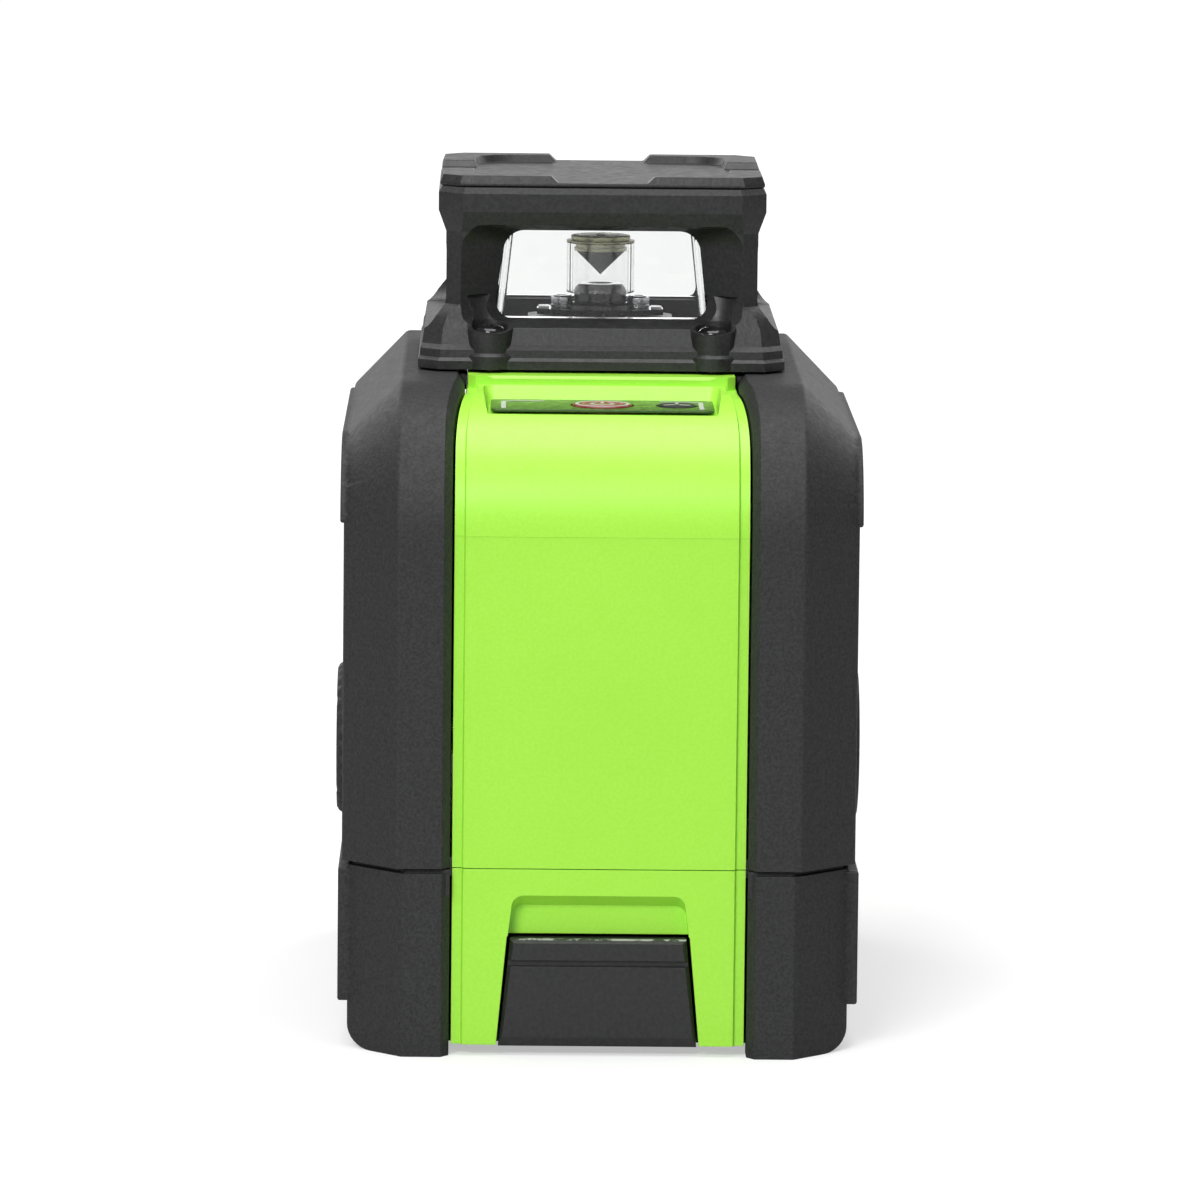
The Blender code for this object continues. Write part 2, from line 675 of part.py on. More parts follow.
def make_battery_tray():
    low, high = TRAY_Z
    tray = part(box("battery_tray", (-TRAY_HALF, -TRAY_HALF_DEPTH, low),
                    (TRAY_HALF, TRAY_HALF_DEPTH, high)), "black_plastic")
    cut(tray, box("tray_hollow", (TRAY_WALL - TRAY_HALF, TRAY_WALL - TRAY_HALF_DEPTH, low - 2),
                  (TRAY_HALF - TRAY_WALL, TRAY_HALF_DEPTH - TRAY_WALL, high - TRAY_WALL)))


def make_battery_set():
    """Four cells lie side by side and face opposite ways in turn."""
    tray_end = TRAY_HALF - TRAY_WALL
    half = (CELL_BODY + CELL_NIB) / 2
    for index in range(4):
        facing = 1 if index % 2 == 0 else -1
        centre = (facing * CELL_SHIFT, CELL_PITCH * (index - 1.5), CELL_Z)
        end = half + centre[0]
        profile = [(0, end), (2.6, end), (2.6, end - CELL_NIB), (CELL_RADIUS - 0.4, end - CELL_NIB),
                   (CELL_RADIUS, end - CELL_NIB - 0.6), (CELL_RADIUS, centre[0] - half + 0.6),
                   (CELL_RADIUS - 0.4, centre[0] - half), (0, centre[0] - half)]
        turned("battery_cell_%d" % (index + 1), profile, "cell_wrap", centre, "X", 20,
               twist=0.0 if facing > 0 else math.pi)
        coil(index + 1, -facing, centre, half - CELL_SHIFT + GAP,
             tray_end - STRIP_THICKNESS - 2 * GAP)
    for name, side in (("left_contact_strip", -1), ("right_contact_strip", 1)):
        low, high = sorted((side * (tray_end - GAP), side * (tray_end - GAP - STRIP_THICKNESS)))
        part(box(name, (low, -STRIP_HALF, STRIP_Z[0]), (high, STRIP_HALF, STRIP_Z[1])), "steel")


def coil(number, side, centre, near, far):
    """A conical contact spring between a cell's flat end and the contact strip."""
    steps = int(SPRING_TURNS * 8)
    start, reach = near + SPRING_WIRE, far - near - 2 * SPRING_WIRE
    route = bpy.data.curves.new("battery_spring_%d" % number, "CURVE")
    route.dimensions = "3D"
    route.bevel_depth = SPRING_WIRE * MM
    route.bevel_resolution = 1
    route.use_fill_caps = True
    spline = route.splines.new("POLY")
    spline.points.add(steps)
    for step, knot in enumerate(spline.points):
        share = step / steps
        turn = share * SPRING_TURNS * math.tau
        radius = 2.6 + 2.4 * share
        knot.co = (side * (start + reach * share) * MM, radius * math.cos(turn) * MM,
                   radius * math.sin(turn) * MM, 1)
    body = bpy.data.objects.new(route.name, route)
    PARTS.objects.link(body)
    route.materials.append(coat(route.name, "steel"))
    body.location = Vector((0, centre[1], centre[2])) * MM


def make_chassis_plate():
    """Floor plate of the upper housing, with two upturned tabs for the damping magnets."""
    plate = part(prism("chassis_plate", [chamfered_rectangle(27, 44, 4)], "Z", CHASSIS_Z),
                 "aluminium")
    for side in (-1, 1):
        span = sorted(side * end for end in MAGNET_TAB_Y)
        join(plate, box("magnet_tab", (-MAGNET_HALF, span[0], CHASSIS_Z[1] - 0.4),
                        (MAGNET_HALF, span[1], MAGNET_Z[1] + 1)))


def make_damping_magnets():
    for name, side in (("damping_magnet_rear", -1), ("damping_magnet_front", 1)):
        span = sorted(side * end for end in MAGNET_Y)
        part(box(name, (-MAGNET_HALF, span[0], MAGNET_Z[0]),
                 (MAGNET_HALF, span[1], MAGNET_Z[1])), "steel")


# ---------------------------------------------------------------- lantern

def glass_half(height, wall=0.0):
    """Half width of the tapered window at a height."""
    share = (height - GLASS_Z[0]) / (GLASS_Z[1] - GLASS_Z[0])
    return GLASS_HALF[0] + (GLASS_HALF[1] - GLASS_HALF[0]) * share - wall


def window_solid(name, low, high, wall):
    return frustum(name, (glass_half(low, wall), glass_half(high, wall)), (low, high),
                   GLASS_CHAMFER)


def make_lantern_frame():
    """One moulding: foot, four corner pillars and the beam around the top."""
    root_two = math.sqrt(2)
    outer = [(0, BEAM_TOP), (BEAM_HALF, BEAM_TOP), (20.4, 104.8), (20.0, 104.6),
             (PILLAR_HALF, 102.2), (PILLAR_HALF, 91.6), (20.6, 90.4), (22.0, 87.7),
             (22.8, 87.2), (22.9, 86.2), (LANTERN_FOOT, 86.0), (LANTERN_FOOT, LANTERN_Z),
             (0, LANTERN_Z)]
    frame = turned("lantern_frame", [(half * root_two, height) for half, height in outer],
                   "black_plastic", (0, 0, LANTERN_Z), steps=4, twist=math.pi / 4)
    for side_x in (-1, 1):
        for side_y in (-1, 1):
            seat = (side_x * BOSS_X, side_y * BOSS_Y, 0)
            join(frame, rod("screw_boss", "Z", seat, (LANTERN_Z + 0.1, BOSS_TOP), BOSS_RADIUS, 20))
            cut(frame, rod("screw_pocket", "Z", seat, (88.6, 93), 2.45, 20))
            cut(frame, rod("screw_bore", "Z", seat, (80, 92), 1.5, 12))
    cut(frame, window_solid("lantern_hollow", GLASS_Z[0] - GAP, 105.0, -0.4))
    cut(frame, box("lantern_throat", (-14, -14, 80), (14, 14, 95)))
    cut(frame, box("plug_pocket", (-16.4, -16.4, 104.0), (16.4, 16.4, 112)))
    for turn in range(4):
        opening = prism("lantern_opening", [rounded_rectangle(12.69, 4.71, 2.4)], "Z",
                        (16.0, 21.6), (1.592, 1.253))
        opening.transform(Matrix.Rotation(turn * math.pi / 2, 4, "Z")
                          @ Matrix.Translation((0, 0, sum(WINDOW_Z) / 2 * MM)) @ ALONG["Y"])
        cut(frame, opening)


def make_lantern_window():
    pane = part(window_solid("lantern_window", *GLASS_Z, 0.0), "glass")
    cut(pane, window_solid("window_hollow", GLASS_Z[0] - 1, GLASS_Z[1] + 1, GLASS_WALL))


def make_window_gasket():
    outlines = [chamfered_rectangle(16.1, 16.1, 2.0), chamfered_rectangle(13.8, 13.8, 2.0)]
    part(prism("window_gasket", outlines, "Z", (104.3, 105.0)), "rubber")


def make_lantern_cap():
    """Dished top plate with a plug that closes the beam."""
    cap = part(prism("lantern_cap", [chamfered_rectangle(21.0, 20.0, 2.2)], "Z",
                     (BEAM_TOP + GAP, OBJECT_TOP)), "black_plastic")
    join(cap, box("plug", (-16.1, -16.1, 105.3), (16.1, 16.1, BEAM_TOP + 0.6)))
    cut(cap, prism("dish", [rounded_rectangle(15.4, 15.4, 5.0)], "Z", (BEAM_TOP + 0.1, 112)))
    for side in (-1, 1):
        low, high = sorted((side * 14.5, side * 22))
        cut(cap, box("end_notch", (-NOTCH_HALF, low, BEAM_TOP + 0.7), (NOTCH_HALF, high, 112)),
            box("side_notch", (low, -NOTCH_HALF, BEAM_TOP + 0.7), (high, NOTCH_HALF, 112)))


def make_lantern_screws():
    number = 0
    for side_x in (-1, 1):
        for side_y in (-1, 1):
            number += 1
            profile = [(0, 90.4), (1.3, 90.2), (2.1, 89.5), (2.1, 88.9), (1.2, 88.9),
                       (1.2, 78.5), (0, 78.5)]
            turned("lantern_screw_%d" % number, profile, "gloss_black",
                   (side_x * BOSS_X, side_y * BOSS_Y, 88.9), steps=16)


# ---------------------------------------------------------------- keypad and boards

def button_profile(radius, top, edge, stem_radius):
    """A round cap with a soft edge on a thinner stem that reaches the keypad board."""
    return [(0, top), (radius - edge, top), (radius, top - edge), (radius, BUTTON_FOOT),
            (stem_radius, BUTTON_FOOT), (stem_radius, STEM_FOOT), (0, STEM_FOOT)]


def make_keypad(power_pivot, mode_pivot):
    depth = (KEYPAD_FRONT_Y - 0.4 - LABEL_REAR_Y) / 2
    outline = rounded_rectangle(LABEL_HALF, depth, 1.0, 2, (0, LABEL_REAR_Y + depth))
    label = part(prism("keypad_label", [outline], "Z", (KEYPAD_FLOOR + GAP, KEYPAD_FLOOR + 0.6)),
                 "black_plastic")
    cut_button_holes(label)
    turned("power_button", button_profile(POWER_BUTTON_RADIUS, BUTTON_TOP, 0.4, 2.0), "red_plastic",
           (0, BUTTON_Y, BUTTON_TOP), parent=power_pivot)
    turned("mode_button", button_profile(MODE_BUTTON_RADIUS, BUTTON_TOP - 0.2, 0.3, 1.3), "rubber",
           (MODE_BUTTON_X, BUTTON_Y, BUTTON_TOP), steps=16, parent=mode_pivot)
    part(box("keypad_board", (-14, -40.8, 75.9), (14, -29.5, 77.1)), "board")
    part(box("main_board", (-24, 36.5, 28), (24, 38.1, 58)), "board")


# ---------------------------------------------------------------- gimbal and pendulum

def make_gimbal_brackets():
    for name, side in (("gimbal_bracket_left", -1), ("gimbal_bracket_right", 1)):
        low, high = sorted((side * BRACKET_X[0], side * BRACKET_X[1]))
        bracket = part(box(name, (low, -8, 24.7), (high, 8, 66)), "aluminium")
        foot = sorted((side * (BRACKET_X[0] + 0.5), side * 26.5))
        join(bracket, box("bracket_foot", (foot[0], -7.5, 24.7), (foot[1], 7.5, 26.9)))
        cut(bracket, rod("bracket_bore", "X", (0, 0, PIVOT_Z), (-30, 30), PIN_RADIUS + GAP, 12))


def make_gimbal_pins():
    for name, side in (("gimbal_pin_left", -1), ("gimbal_pin_right", 1)):
        span = sorted((side * 24.0, side * 15.0))
        part(rod(name, "X", (0, 0, PIVOT_Z), span, PIN_RADIUS, 12), "steel")


def make_gimbal_ring(pivot):
    origin = (0, 0, PIVOT_Z)
    outlines = [chamfered_rectangle(RING_OUTER, RING_OUTER, 4),
                chamfered_rectangle(RING_INNER, RING_INNER, 3)]
    ring = part(prism("gimbal_ring", outlines, "Z", RING_Z), "aluminium", origin, pivot)
    for axis in ("X", "Y"):
        cut(ring, rod("ring_bore", axis, origin, (-30, 30), PIN_RADIUS + GAP, 12))
    for name, side in (("pendulum_pin_rear", -1), ("pendulum_pin_front", 1)):
        span = sorted((side * 6.0, side * 17.5))
        part(rod(name, "Y", origin, span, PIN_RADIUS, 12), "steel", origin, pivot)


def make_pendulum(pivot):
    """Everything that hangs level: laser modules, weight and the mirror column."""
    origin = (0, 0, PIVOT_Z)
    body = part(box("pendulum_body", (-9, -9.8, BODY_BLOCK_Z[0]), (9, 9.8, BODY_BLOCK_Z[1])),
                "aluminium", origin, pivot)
    join(body, rod("tower", "Z", (0, 0, 0), (76, 88.6), TOWER_RADIUS))
    join(body, prism("tower_plate", [rounded_rectangle(9.5, 5.6, 2)], "Z", (88.2, TOWER_TOP)))
    cut(body, rod("up_bore", "Z", (0, 0, 0), (77.6, 95), UP_MODULE_RADIUS + GAP))
    cut(body, rod("forward_bore", "Y", (0, 0, FORWARD_Z), (-16, 16), MODULE_RADIUS + GAP))
    cut(body, rod("pivot_bore", "Y", origin, (-20, 20), PIN_RADIUS + GAP, 12))
    for side in (-1, 1):
        cut(body, rod("screw_hole", "Z", (side * FLANGE_SCREW_X, 0, 0), (86, 92), 1.1, 12))
    swing = PIVOT_Z - WEIGHT_BOTTOM
    edge = math.asin(WEIGHT_RADIUS / swing)
    dome = [(swing * math.sin(edge * (1 - step / 8)),
             PIVOT_Z - swing * math.cos(edge * (1 - step / 8))) for step in range(9)]
    turned("pendulum_weight", [(0, WEIGHT_TOP), (WEIGHT_RADIUS, WEIGHT_TOP)] + dome, "brass",
           origin, steps=32, parent=pivot)
    turned("up_laser_module", [(0, 89.4), (UP_MODULE_RADIUS, 89.4), (UP_MODULE_RADIUS, 78.0),
                               (0, 78.0)], "brass", origin, parent=pivot)
    turned("forward_laser_module", [(0, 15.5), (3.6, 15.5), (3.6, 12.5), (MODULE_RADIUS, 12.5),
                                    (MODULE_RADIUS, -14.1), (0, -14.1)], "brass",
           (0, 0, FORWARD_Z), "Y", parent=pivot)


def make_mirror_column(pivot):
    """Collar, glass tube and cone mirror on top of the pendulum."""
    origin = (0, 0, PIVOT_Z)
    flange = [(8.3, 1.6), (3.4, 4.6), (-3.4, 4.6), (-8.3, 1.6), (-8.3, -1.6), (-3.4, -4.6),
              (3.4, -4.6), (8.3, -1.6)]
    holder = part(prism("tube_holder", [flange], "Z", FLANGE_Z), "black_plastic", origin, pivot)
    join(holder, rod("collar", "Z", (0, 0, 0), (90.3, COLLAR_TOP), 3.4))
    cut(holder, rod("laser_exit", "Z", (0, 0, 0), (85, 99), 1.6, 16))
    for side in (-1, 1):
        cut(holder, rod("flange_hole", "Z", (side * FLANGE_SCREW_X, 0, 0), (85, 92), 1.1, 12))
    for name, side in (("flange_screw_left", -1), ("flange_screw_right", 1)):
        turned(name, [(0, 92.4), (0.9, 92.25), (1.45, 91.7), (1.45, 91.0), (0.8, 91.0),
                      (0.8, 86.4), (0, 86.4)], "steel", (side * FLANGE_SCREW_X, 0, PIVOT_Z),
               steps=16, parent=pivot)
    turned("glass_tube", [(3.7, TUBE_Z[1]), (TUBE_RADIUS, TUBE_Z[1]), (TUBE_RADIUS, TUBE_Z[0]),
                          (3.7, TUBE_Z[0])], "glass", origin, closed=True, parent=pivot)
    turned("cone_mirror", [(0, 100.4), (0.55, 100.4), (0.55, 99.7), (3.4, 99.7),
                           (3.4, MIRROR_BASE), (MIRROR_BASE - MIRROR_APEX, MIRROR_BASE),
                           (0, MIRROR_APEX)], "mirror", origin, parent=pivot)


# ---------------------------------------------------------------- lock

def make_lock(knob_pivot, slider_pivot):
    """The knob turns a cam, and the cam lifts the slider against the pendulum's weight."""
    axis = (-KNOB_POCKET_X, KNOB_Y, KNOB_Z)
    seat = (0, KNOB_Y, KNOB_Z)
    knob = part(rod("lock_knob", "X", seat, (-KNOB_OUT, -KNOB_POCKET_X - GAP),
                    KNOB_RADIUS - KNOB_TAPER, 32, KNOB_RADIUS), "rubber", axis, knob_pivot)
    for side in (-1, 1):
        near, far = sorted(KNOB_Y + side * reach for reach in FINGER_WELL_Y)
        cut(knob, box("finger_well", (-40, near, KNOB_Z - FINGER_WELL_HALF),
                      (FINGER_WELL_X, far, KNOB_Z + FINGER_WELL_HALF)))
    cut(knob, rod("knob_socket", "X", seat, (-31.9, -28), SHAFT_RADIUS + GAP, 16))
    shaft = part(rod("lock_shaft", "X", seat, (-31.6, CAM_X[0] + 0.4), SHAFT_RADIUS, 16), "steel",
                 axis, knob_pivot)
    cam_seat = (0, KNOB_Y, KNOB_Z - CAM_THROW)
    join(shaft, rod("cam", "X", cam_seat, CAM_X, CAM_RADIUS))
    low, high = SLIDER_RISER_X
    arm = [(low, -20), (-14, -20), (6.5, -3.5), (6.5, 5), (-3, 5.5), (low, -13)]
    slider = part(prism("lock_slider", [arm], "Z", SLIDER_ARM_Z), "steel", (0, 0, 25),
                  slider_pivot)
    join(slider, rod("brake_pad", "Z", (0, 0, 0), (SLIDER_ARM_Z[1] - 0.4, SLIDER_PAD_TOP), 6.0))
    join(slider, box("riser", (low, -19.6, SLIDER_ARM_Z[0] + 0.4), (high, -14.4, 38.4)))
    cam_top = KNOB_Z - CAM_THROW + CAM_RADIUS
    join(slider, box("follower", (CAM_X[0] + 0.7, -19.2, cam_top + GAP), (low + 0.5, -14.8, 38.0)))


# ---------------------------------------------------------------- assembly

def make_housing():
    outer = envelope("outer_form", 0.0)
    inner = envelope("inner_form", SHELL_WALL)
    spine_outer = envelope("spine_form", SPINE_RECESS)
    spine_inner = envelope("spine_inner_form", SPINE_INNER)
    make_left_shell(outer, inner)
    make_right_shell(outer, inner)
    make_rear_spine(spine_outer, spine_inner)
    make_front_spine(spine_outer, spine_inner)
    make_front_window()
    return spine_outer, spine_inner


def make_base(spine_outer, spine_inner):
    outer = envelope("base_form", 0.0, BASE_HALF_WIDTH)
    inner = envelope("base_inner_form", BASE_WALL, BASE_HALF_WIDTH)
    keep(inner, box("above_rim", (-60, -70, 3.4), (60, 70, 60)))
    panel_inner = envelope("panel_inner_form", PANEL_INNER)
    make_base_shell("left_base_shell", -1, outer, inner)
    make_base_shell("right_base_shell", 1, outer, inner)
    make_base_rear_panel(spine_outer, panel_inner)
    make_base_front_panel(spine_outer, spine_inner)
    make_tripod_insert()
    make_cover_hinge_pin()
    make_battery_tray()
    make_battery_set()
    make_chassis_plate()
    make_damping_magnets()


def make_lantern():
    make_lantern_frame()
    make_lantern_window()
    make_window_gasket()
    make_lantern_cap()
    make_lantern_screws()


def make_moving_parts():
    cover_pivot = joint_empty("battery_cover_axis", (0, COVER_HINGE_Y, COVER_HINGE_Z))
    make_battery_cover(cover_pivot)
    make_latch_pin(cover_pivot)
    make_battery_latch(joint_empty("battery_latch_axis", (0, LATCH_PIN_Y, LATCH_PIN_Z)))
    make_keypad(joint_empty("power_button_axis", (0, BUTTON_Y, BUTTON_TOP)),
                joint_empty("mode_button_axis", (MODE_BUTTON_X, BUTTON_Y, BUTTON_TOP)))
    make_gimbal_brackets()
    make_gimbal_pins()
    make_gimbal_ring(joint_empty("gimbal_axis", (0, 0, PIVOT_Z)))
    pendulum_pivot = joint_empty("pendulum_axis", (0, 0, PIVOT_Z))
    make_pendulum(pendulum_pivot)
    make_mirror_column(pendulum_pivot)
    make_lock(joint_empty("lock_knob_axis", (-KNOB_POCKET_X, KNOB_Y, KNOB_Z)),
              joint_empty("lock_slider_axis", (0, 0, SLIDER_ARM_Z[0])))


clear_scene()
PARTS = new_collection("laser_level")
CUTTERS = new_collection("laser_level_cutters")
make_base(*make_housing())
make_lantern()
make_moving_parts()
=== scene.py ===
"""Looks of the cross-line laser level: fine surfaces, materials, light and camera.

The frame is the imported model's: +Z up, keypad and latch side facing -Y, origin in the middle
of the underside. Lengths are in millimetres unless a name says otherwise.
"""
import json
import math

import bmesh
import bpy
from mathutils import Matrix, Vector


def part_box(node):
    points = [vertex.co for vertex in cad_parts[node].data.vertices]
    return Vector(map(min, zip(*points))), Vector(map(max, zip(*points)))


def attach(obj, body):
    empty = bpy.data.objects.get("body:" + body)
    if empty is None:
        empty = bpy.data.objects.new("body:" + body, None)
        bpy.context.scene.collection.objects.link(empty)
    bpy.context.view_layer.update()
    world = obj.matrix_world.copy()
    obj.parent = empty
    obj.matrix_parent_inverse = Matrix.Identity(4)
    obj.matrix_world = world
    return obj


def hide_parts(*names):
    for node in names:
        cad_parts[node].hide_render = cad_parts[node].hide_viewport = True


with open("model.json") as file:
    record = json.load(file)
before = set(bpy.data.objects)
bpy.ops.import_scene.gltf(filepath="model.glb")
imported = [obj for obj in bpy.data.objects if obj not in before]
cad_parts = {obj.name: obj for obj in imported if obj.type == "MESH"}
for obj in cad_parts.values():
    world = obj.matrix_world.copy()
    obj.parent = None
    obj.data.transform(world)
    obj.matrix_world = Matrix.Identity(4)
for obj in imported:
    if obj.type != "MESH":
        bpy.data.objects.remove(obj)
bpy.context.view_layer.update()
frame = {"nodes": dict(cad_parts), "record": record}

MM = 0.001


def corners_mm(node):
    low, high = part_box(node)
    return low / MM, high / MM


SHELL_LOW, SHELL_HIGH = corners_mm("right_side_shell")
BASE_HIGH = corners_mm("right_base_shell")[1]
SPINE_HIGH = corners_mm("rear_spine")[1]
FRONT_LOW = corners_mm("front_spine")[0]
PANEL_LOW = corners_mm("base_rear_panel")[0]
LATCH_LOW, LATCH_HIGH = corners_mm("battery_latch")
COVER_LOW, COVER_HIGH = corners_mm("battery_cover")
LANTERN_LOW, LANTERN_HIGH = corners_mm("lantern_frame")
CAP_LOW, CAP_HIGH = corners_mm("lantern_cap")
GLASS_LOW, GLASS_HIGH = corners_mm("lantern_window")
LABEL_LOW, LABEL_HIGH = corners_mm("keypad_label")
KNOB_LOW, KNOB_HIGH = corners_mm("lock_knob")
INSERT_LOW, INSERT_HIGH = corners_mm("tripod_insert")
HOLDER_LOW, HOLDER_HIGH = corners_mm("tube_holder")
TUBE_LOW, TUBE_HIGH = corners_mm("glass_tube")
CONE_HIGH = corners_mm("cone_mirror")[1]
POWER_LOW, POWER_HIGH = corners_mm("power_button")
MODE_LOW, MODE_HIGH = corners_mm("mode_button")

# Housing form
HALF_DEPTH = -SHELL_LOW.y
TOP_Z = SHELL_HIGH.z
SEAM_HIGH = SHELL_LOW.z
SEAM_LOW = BASE_HIGH.z
SPINE_HALF = SPINE_HIGH.x
SPLIT = SHELL_LOW.x           # inner edge of the rubber shells
HALF_WIDTH = 32.7             # side faces of the upper shells
BASE_HALF_WIDTH = 31.9
CHAMFER = 7.0                 # the facet that runs round the outer edge of each shell
CREST_RADIUS = 18.0
CREST_STEPS = 26
TOP_STATIONS = (26.0, 0.0, -26.0, -29.0, -31.5)   # along the flat top, close where it narrows
SLOPE_TOP_Y = 32.0
SLOPE_FOOT_Z = 60.0
FOOT = -6.0                   # the forms run on below the base before they are cut
FAR_X, FAR_Y, FAR_Z = 60.0, 70.0, 95.0   # past every outer face of the housing
RIM_X = SPLIT + 1.0           # the rubber's edge leans in over this last millimetre
RIM_DROP = 1.4
SPINE_INSET = 1.2
STRIP_INSET = 1.8             # narrow strips along both sides of the spine
STRIP_X = (17.2, 17.4)
MOULD_STEP = 0.06             # mould line across the spine where the crest begins
MOULD_RISE = 0.05
SHELL_WALL = 3.0
SPINE_INNER = 4.4
PRINT = 0.05                  # thickness of printed marks
BASE_WALL = 2.8
PANEL_INNER = 6.2
LATCH_TOP_HALF = 11.2
LATCH_FOOT_HALF = 12.6
LIP_DEPTH = 0.7               # the base's lip shows this far inside the seam
GREEN_SEAM = 0.12             # a hairline between the spine and the base panel
NARROW = 1.3                  # the spine narrows by this much towards the lantern,
NARROW_Y = (47.0, 30.0)       # from none to full between these distances from the middle,
NARROW_Z = 70.0               # and only above this height
GREEN_FADE = (15.0, 17.0)     # across the spine the shift grows between these,
RUBBER_FADE = (25.0, 20.4)    # and on the shells it dies away outwards between these
RIM_REACH = 1.5

# Pads, knob and boss
PAD_OUT = 33.15
PAD_ROOT = 1.0                # pads are sunk this far into the face
PAD_FRONT_Y = 20.0
PAD_INSET = 6.5               # a pad's rear and upper ends follow the side's outline
PAD_END_SLOPE = 1.8
UPPER_PAD_Z = (67.3, 90.0)
BASE_PAD_Z = (6.0, 23.2)
KNOB_Y = (KNOB_LOW.y + KNOB_HIGH.y) / 2
KNOB_Z = (KNOB_LOW.z + KNOB_HIGH.z) / 2
KNOB_RADIUS = (KNOB_HIGH.z - KNOB_LOW.z) / 2
KNOB_OUT = -KNOB_LOW.x
KNOB_POCKET_X = 30.1
KNOB_SEAT = (-31.0, -27.6)    # the plate behind the knob
SHAFT_BORE = 2.4
SIDE_BOSS = (30.5, 33.2, 33.4)   # root, rim and face of the round boss on the right

# Keypad
KEYPAD_FLOOR = LABEL_LOW.z - 0.3
KEYPAD_Y = (-43.5, -29.5)
KEYPAD_HALF = 14.6
DECK_HALF = 17.2
DECK_REACH = 26.9
DECK_FOOT = 81.8
FLANGE_REACH = 22.0           # the shells carry the deck on between these
DECK_TOP = TOP_Z - 0.1
TOP_BORE = (76.0, 90.0)       # bores through the housing top run between these heights
BUTTON_Y = (POWER_LOW.y + POWER_HIGH.y) / 2
MODE_X = (MODE_LOW.x + MODE_HIGH.x) / 2
POWER_RADIUS = (POWER_HIGH.x - POWER_LOW.x) / 2
MODE_RADIUS = (MODE_HIGH.x - MODE_LOW.x) / 2
BUTTON_FOOT = 79.2
STROKE = 0.22                 # half the width of the signs' strokes
BUTTON_RISE = 0.15            # the caps stand this far above the overlay

# Lantern
BOSS_X = 14.4
BOSS_Y = 20.7
BOSS_RADIUS = 2.95
BOSS_FOOT_RADIUS = 3.45
BOSS_TOP = 90.8
SCREW_BORE = 1.5
WINDOW_Z = (91.0, 102.2)
OPENING_REACH = 16.0          # an opening has its half sizes this far from the middle
OPENING_HALF = (12.69, 5.61)
OPENING_FLARE = (1.34, 0.213)   # growth for each millimetre outwards
CAP_FLOOR = 0.30              # the dish and its notches end this far above the cap's underside
NOTCH_HALF = 5.8
NOTCH_FLARE = 1.3
DISH_HALF, DISH_CORNER = 16.3, 5.0
PLUG_HALF = 16.1
GLASS_HALF = (GLASS_HIGH.x, 15.2)
GLASS_WALL = 1.2
GLASS_CHAMFER = 3.0
TUBE_RADIUS = TUBE_HIGH.x
COLLAR_RADIUS = 3.45
FLANGE_TOP = 90.7
FLANGE_SCREW_X = 5.05
CONE_TIP, CONE_RIM, CONE_RADIUS = 95.1, 98.2, 3.2
CONE_EDGE = 98.28


# ------------------------ mesh helpers

def to_object(name, shape):
    """An object in metres from a bmesh drawn in millimetres."""
    bmesh.ops.recalc_face_normals(shape, faces=shape.faces)
    mesh = bpy.data.meshes.new(name)
    shape.to_mesh(mesh)
    shape.free()
    mesh.transform(Matrix.Scale(MM, 4))
    body = bpy.data.objects.new(name, mesh)
    bpy.context.scene.collection.objects.link(body)
    return body


def bake(body):
    """Applies the modifiers."""
    graph = bpy.context.evaluated_depsgraph_get()
    baked = bpy.data.meshes.new_from_object(body.evaluated_get(graph))
    body.modifiers.clear()
    body.data = baked


def boolean(body, tool, operation):
    step = body.modifiers.new("boolean", "BOOLEAN")
    step.operation = operation
    step.solver = "EXACT"
    step.object = tool
    bake(body)


def cut(body, *tools):
    for tool in tools:
        boolean(body, tool, "DIFFERENCE")
        bpy.data.objects.remove(tool, do_unlink=True)


def join(body, *tools):
    for tool in tools:
        boolean(body, tool, "UNION")
        bpy.data.objects.remove(tool, do_unlink=True)


def keep(body, tool):
    boolean(body, tool, "INTERSECT")
    bpy.data.objects.remove(tool, do_unlink=True)


def loft(name, rings):
    """A closed skin through rings of equally many points, capped at both ends."""
    shape = bmesh.new()
    layers = [[shape.verts.new(point) for point in ring] for ring in rings]
    count = len(rings[0])
    for near, far in zip(layers, layers[1:]):
        for index in range(count):
            after = (index + 1) % count
            shape.faces.new((near[index], near[after], far[after], far[index]))
    shape.faces.new(layers[0])
    shape.faces.new(layers[-1][::-1])
    return to_object(name, shape)


def box(name, low, high):
    low, high = Vector(low), Vector(high)
    rings = [[(x, y, z) for x, y in ((low.x, low.y), (high.x, low.y), (high.x, high.y),
                                     (low.x, high.y))] for z in (low.z, high.z)]
    return loft(name, rings)


def placed(axis, u, v, w):
    """A point from drawing coordinates: X takes (y, z), Y takes (x, z) and Z takes (x, y)."""
    return {"X": (w, u, v), "Y": (u, w, v), "Z": (u, v, w)}[axis]


def prism(name, outline, axis, span):
    return loft(name, [[placed(axis, u, v, w) for u, v in outline] for w in span])


def stack(name, axis, layers):
    """A skin through layers of (outline, position on the axis)."""
    return loft(name, [[placed(axis, u, v, w) for u, v in outline] for outline, w in layers])


def circle(radius, segments=48, centre=(0.0, 0.0)):
    turns = [math.tau * index / segments for index in range(segments)]
    return [(centre[0] + radius * math.cos(turn), centre[1] + radius * math.sin(turn))
            for turn in turns]


def turned(name, axis, centre, profile, segments=48):
    """A round piece from its (radius, position) profile, both ends closed."""
    return stack(name, axis, [(circle(max(radius, 0.01), segments, centre), along)
                              for radius, along in profile])


def rod(name, axis, centre, span, radius, segments=48):
    return turned(name, axis, centre, [(radius, span[0]), (radius, span[1])], segments)


def arc(centre, radius, start, end, steps):
    turns = [math.radians(start + (end - start) * step / steps) for step in range(steps + 1)]
    return [(centre[0] + radius * math.cos(turn), centre[1] + radius * math.sin(turn))
            for turn in turns]


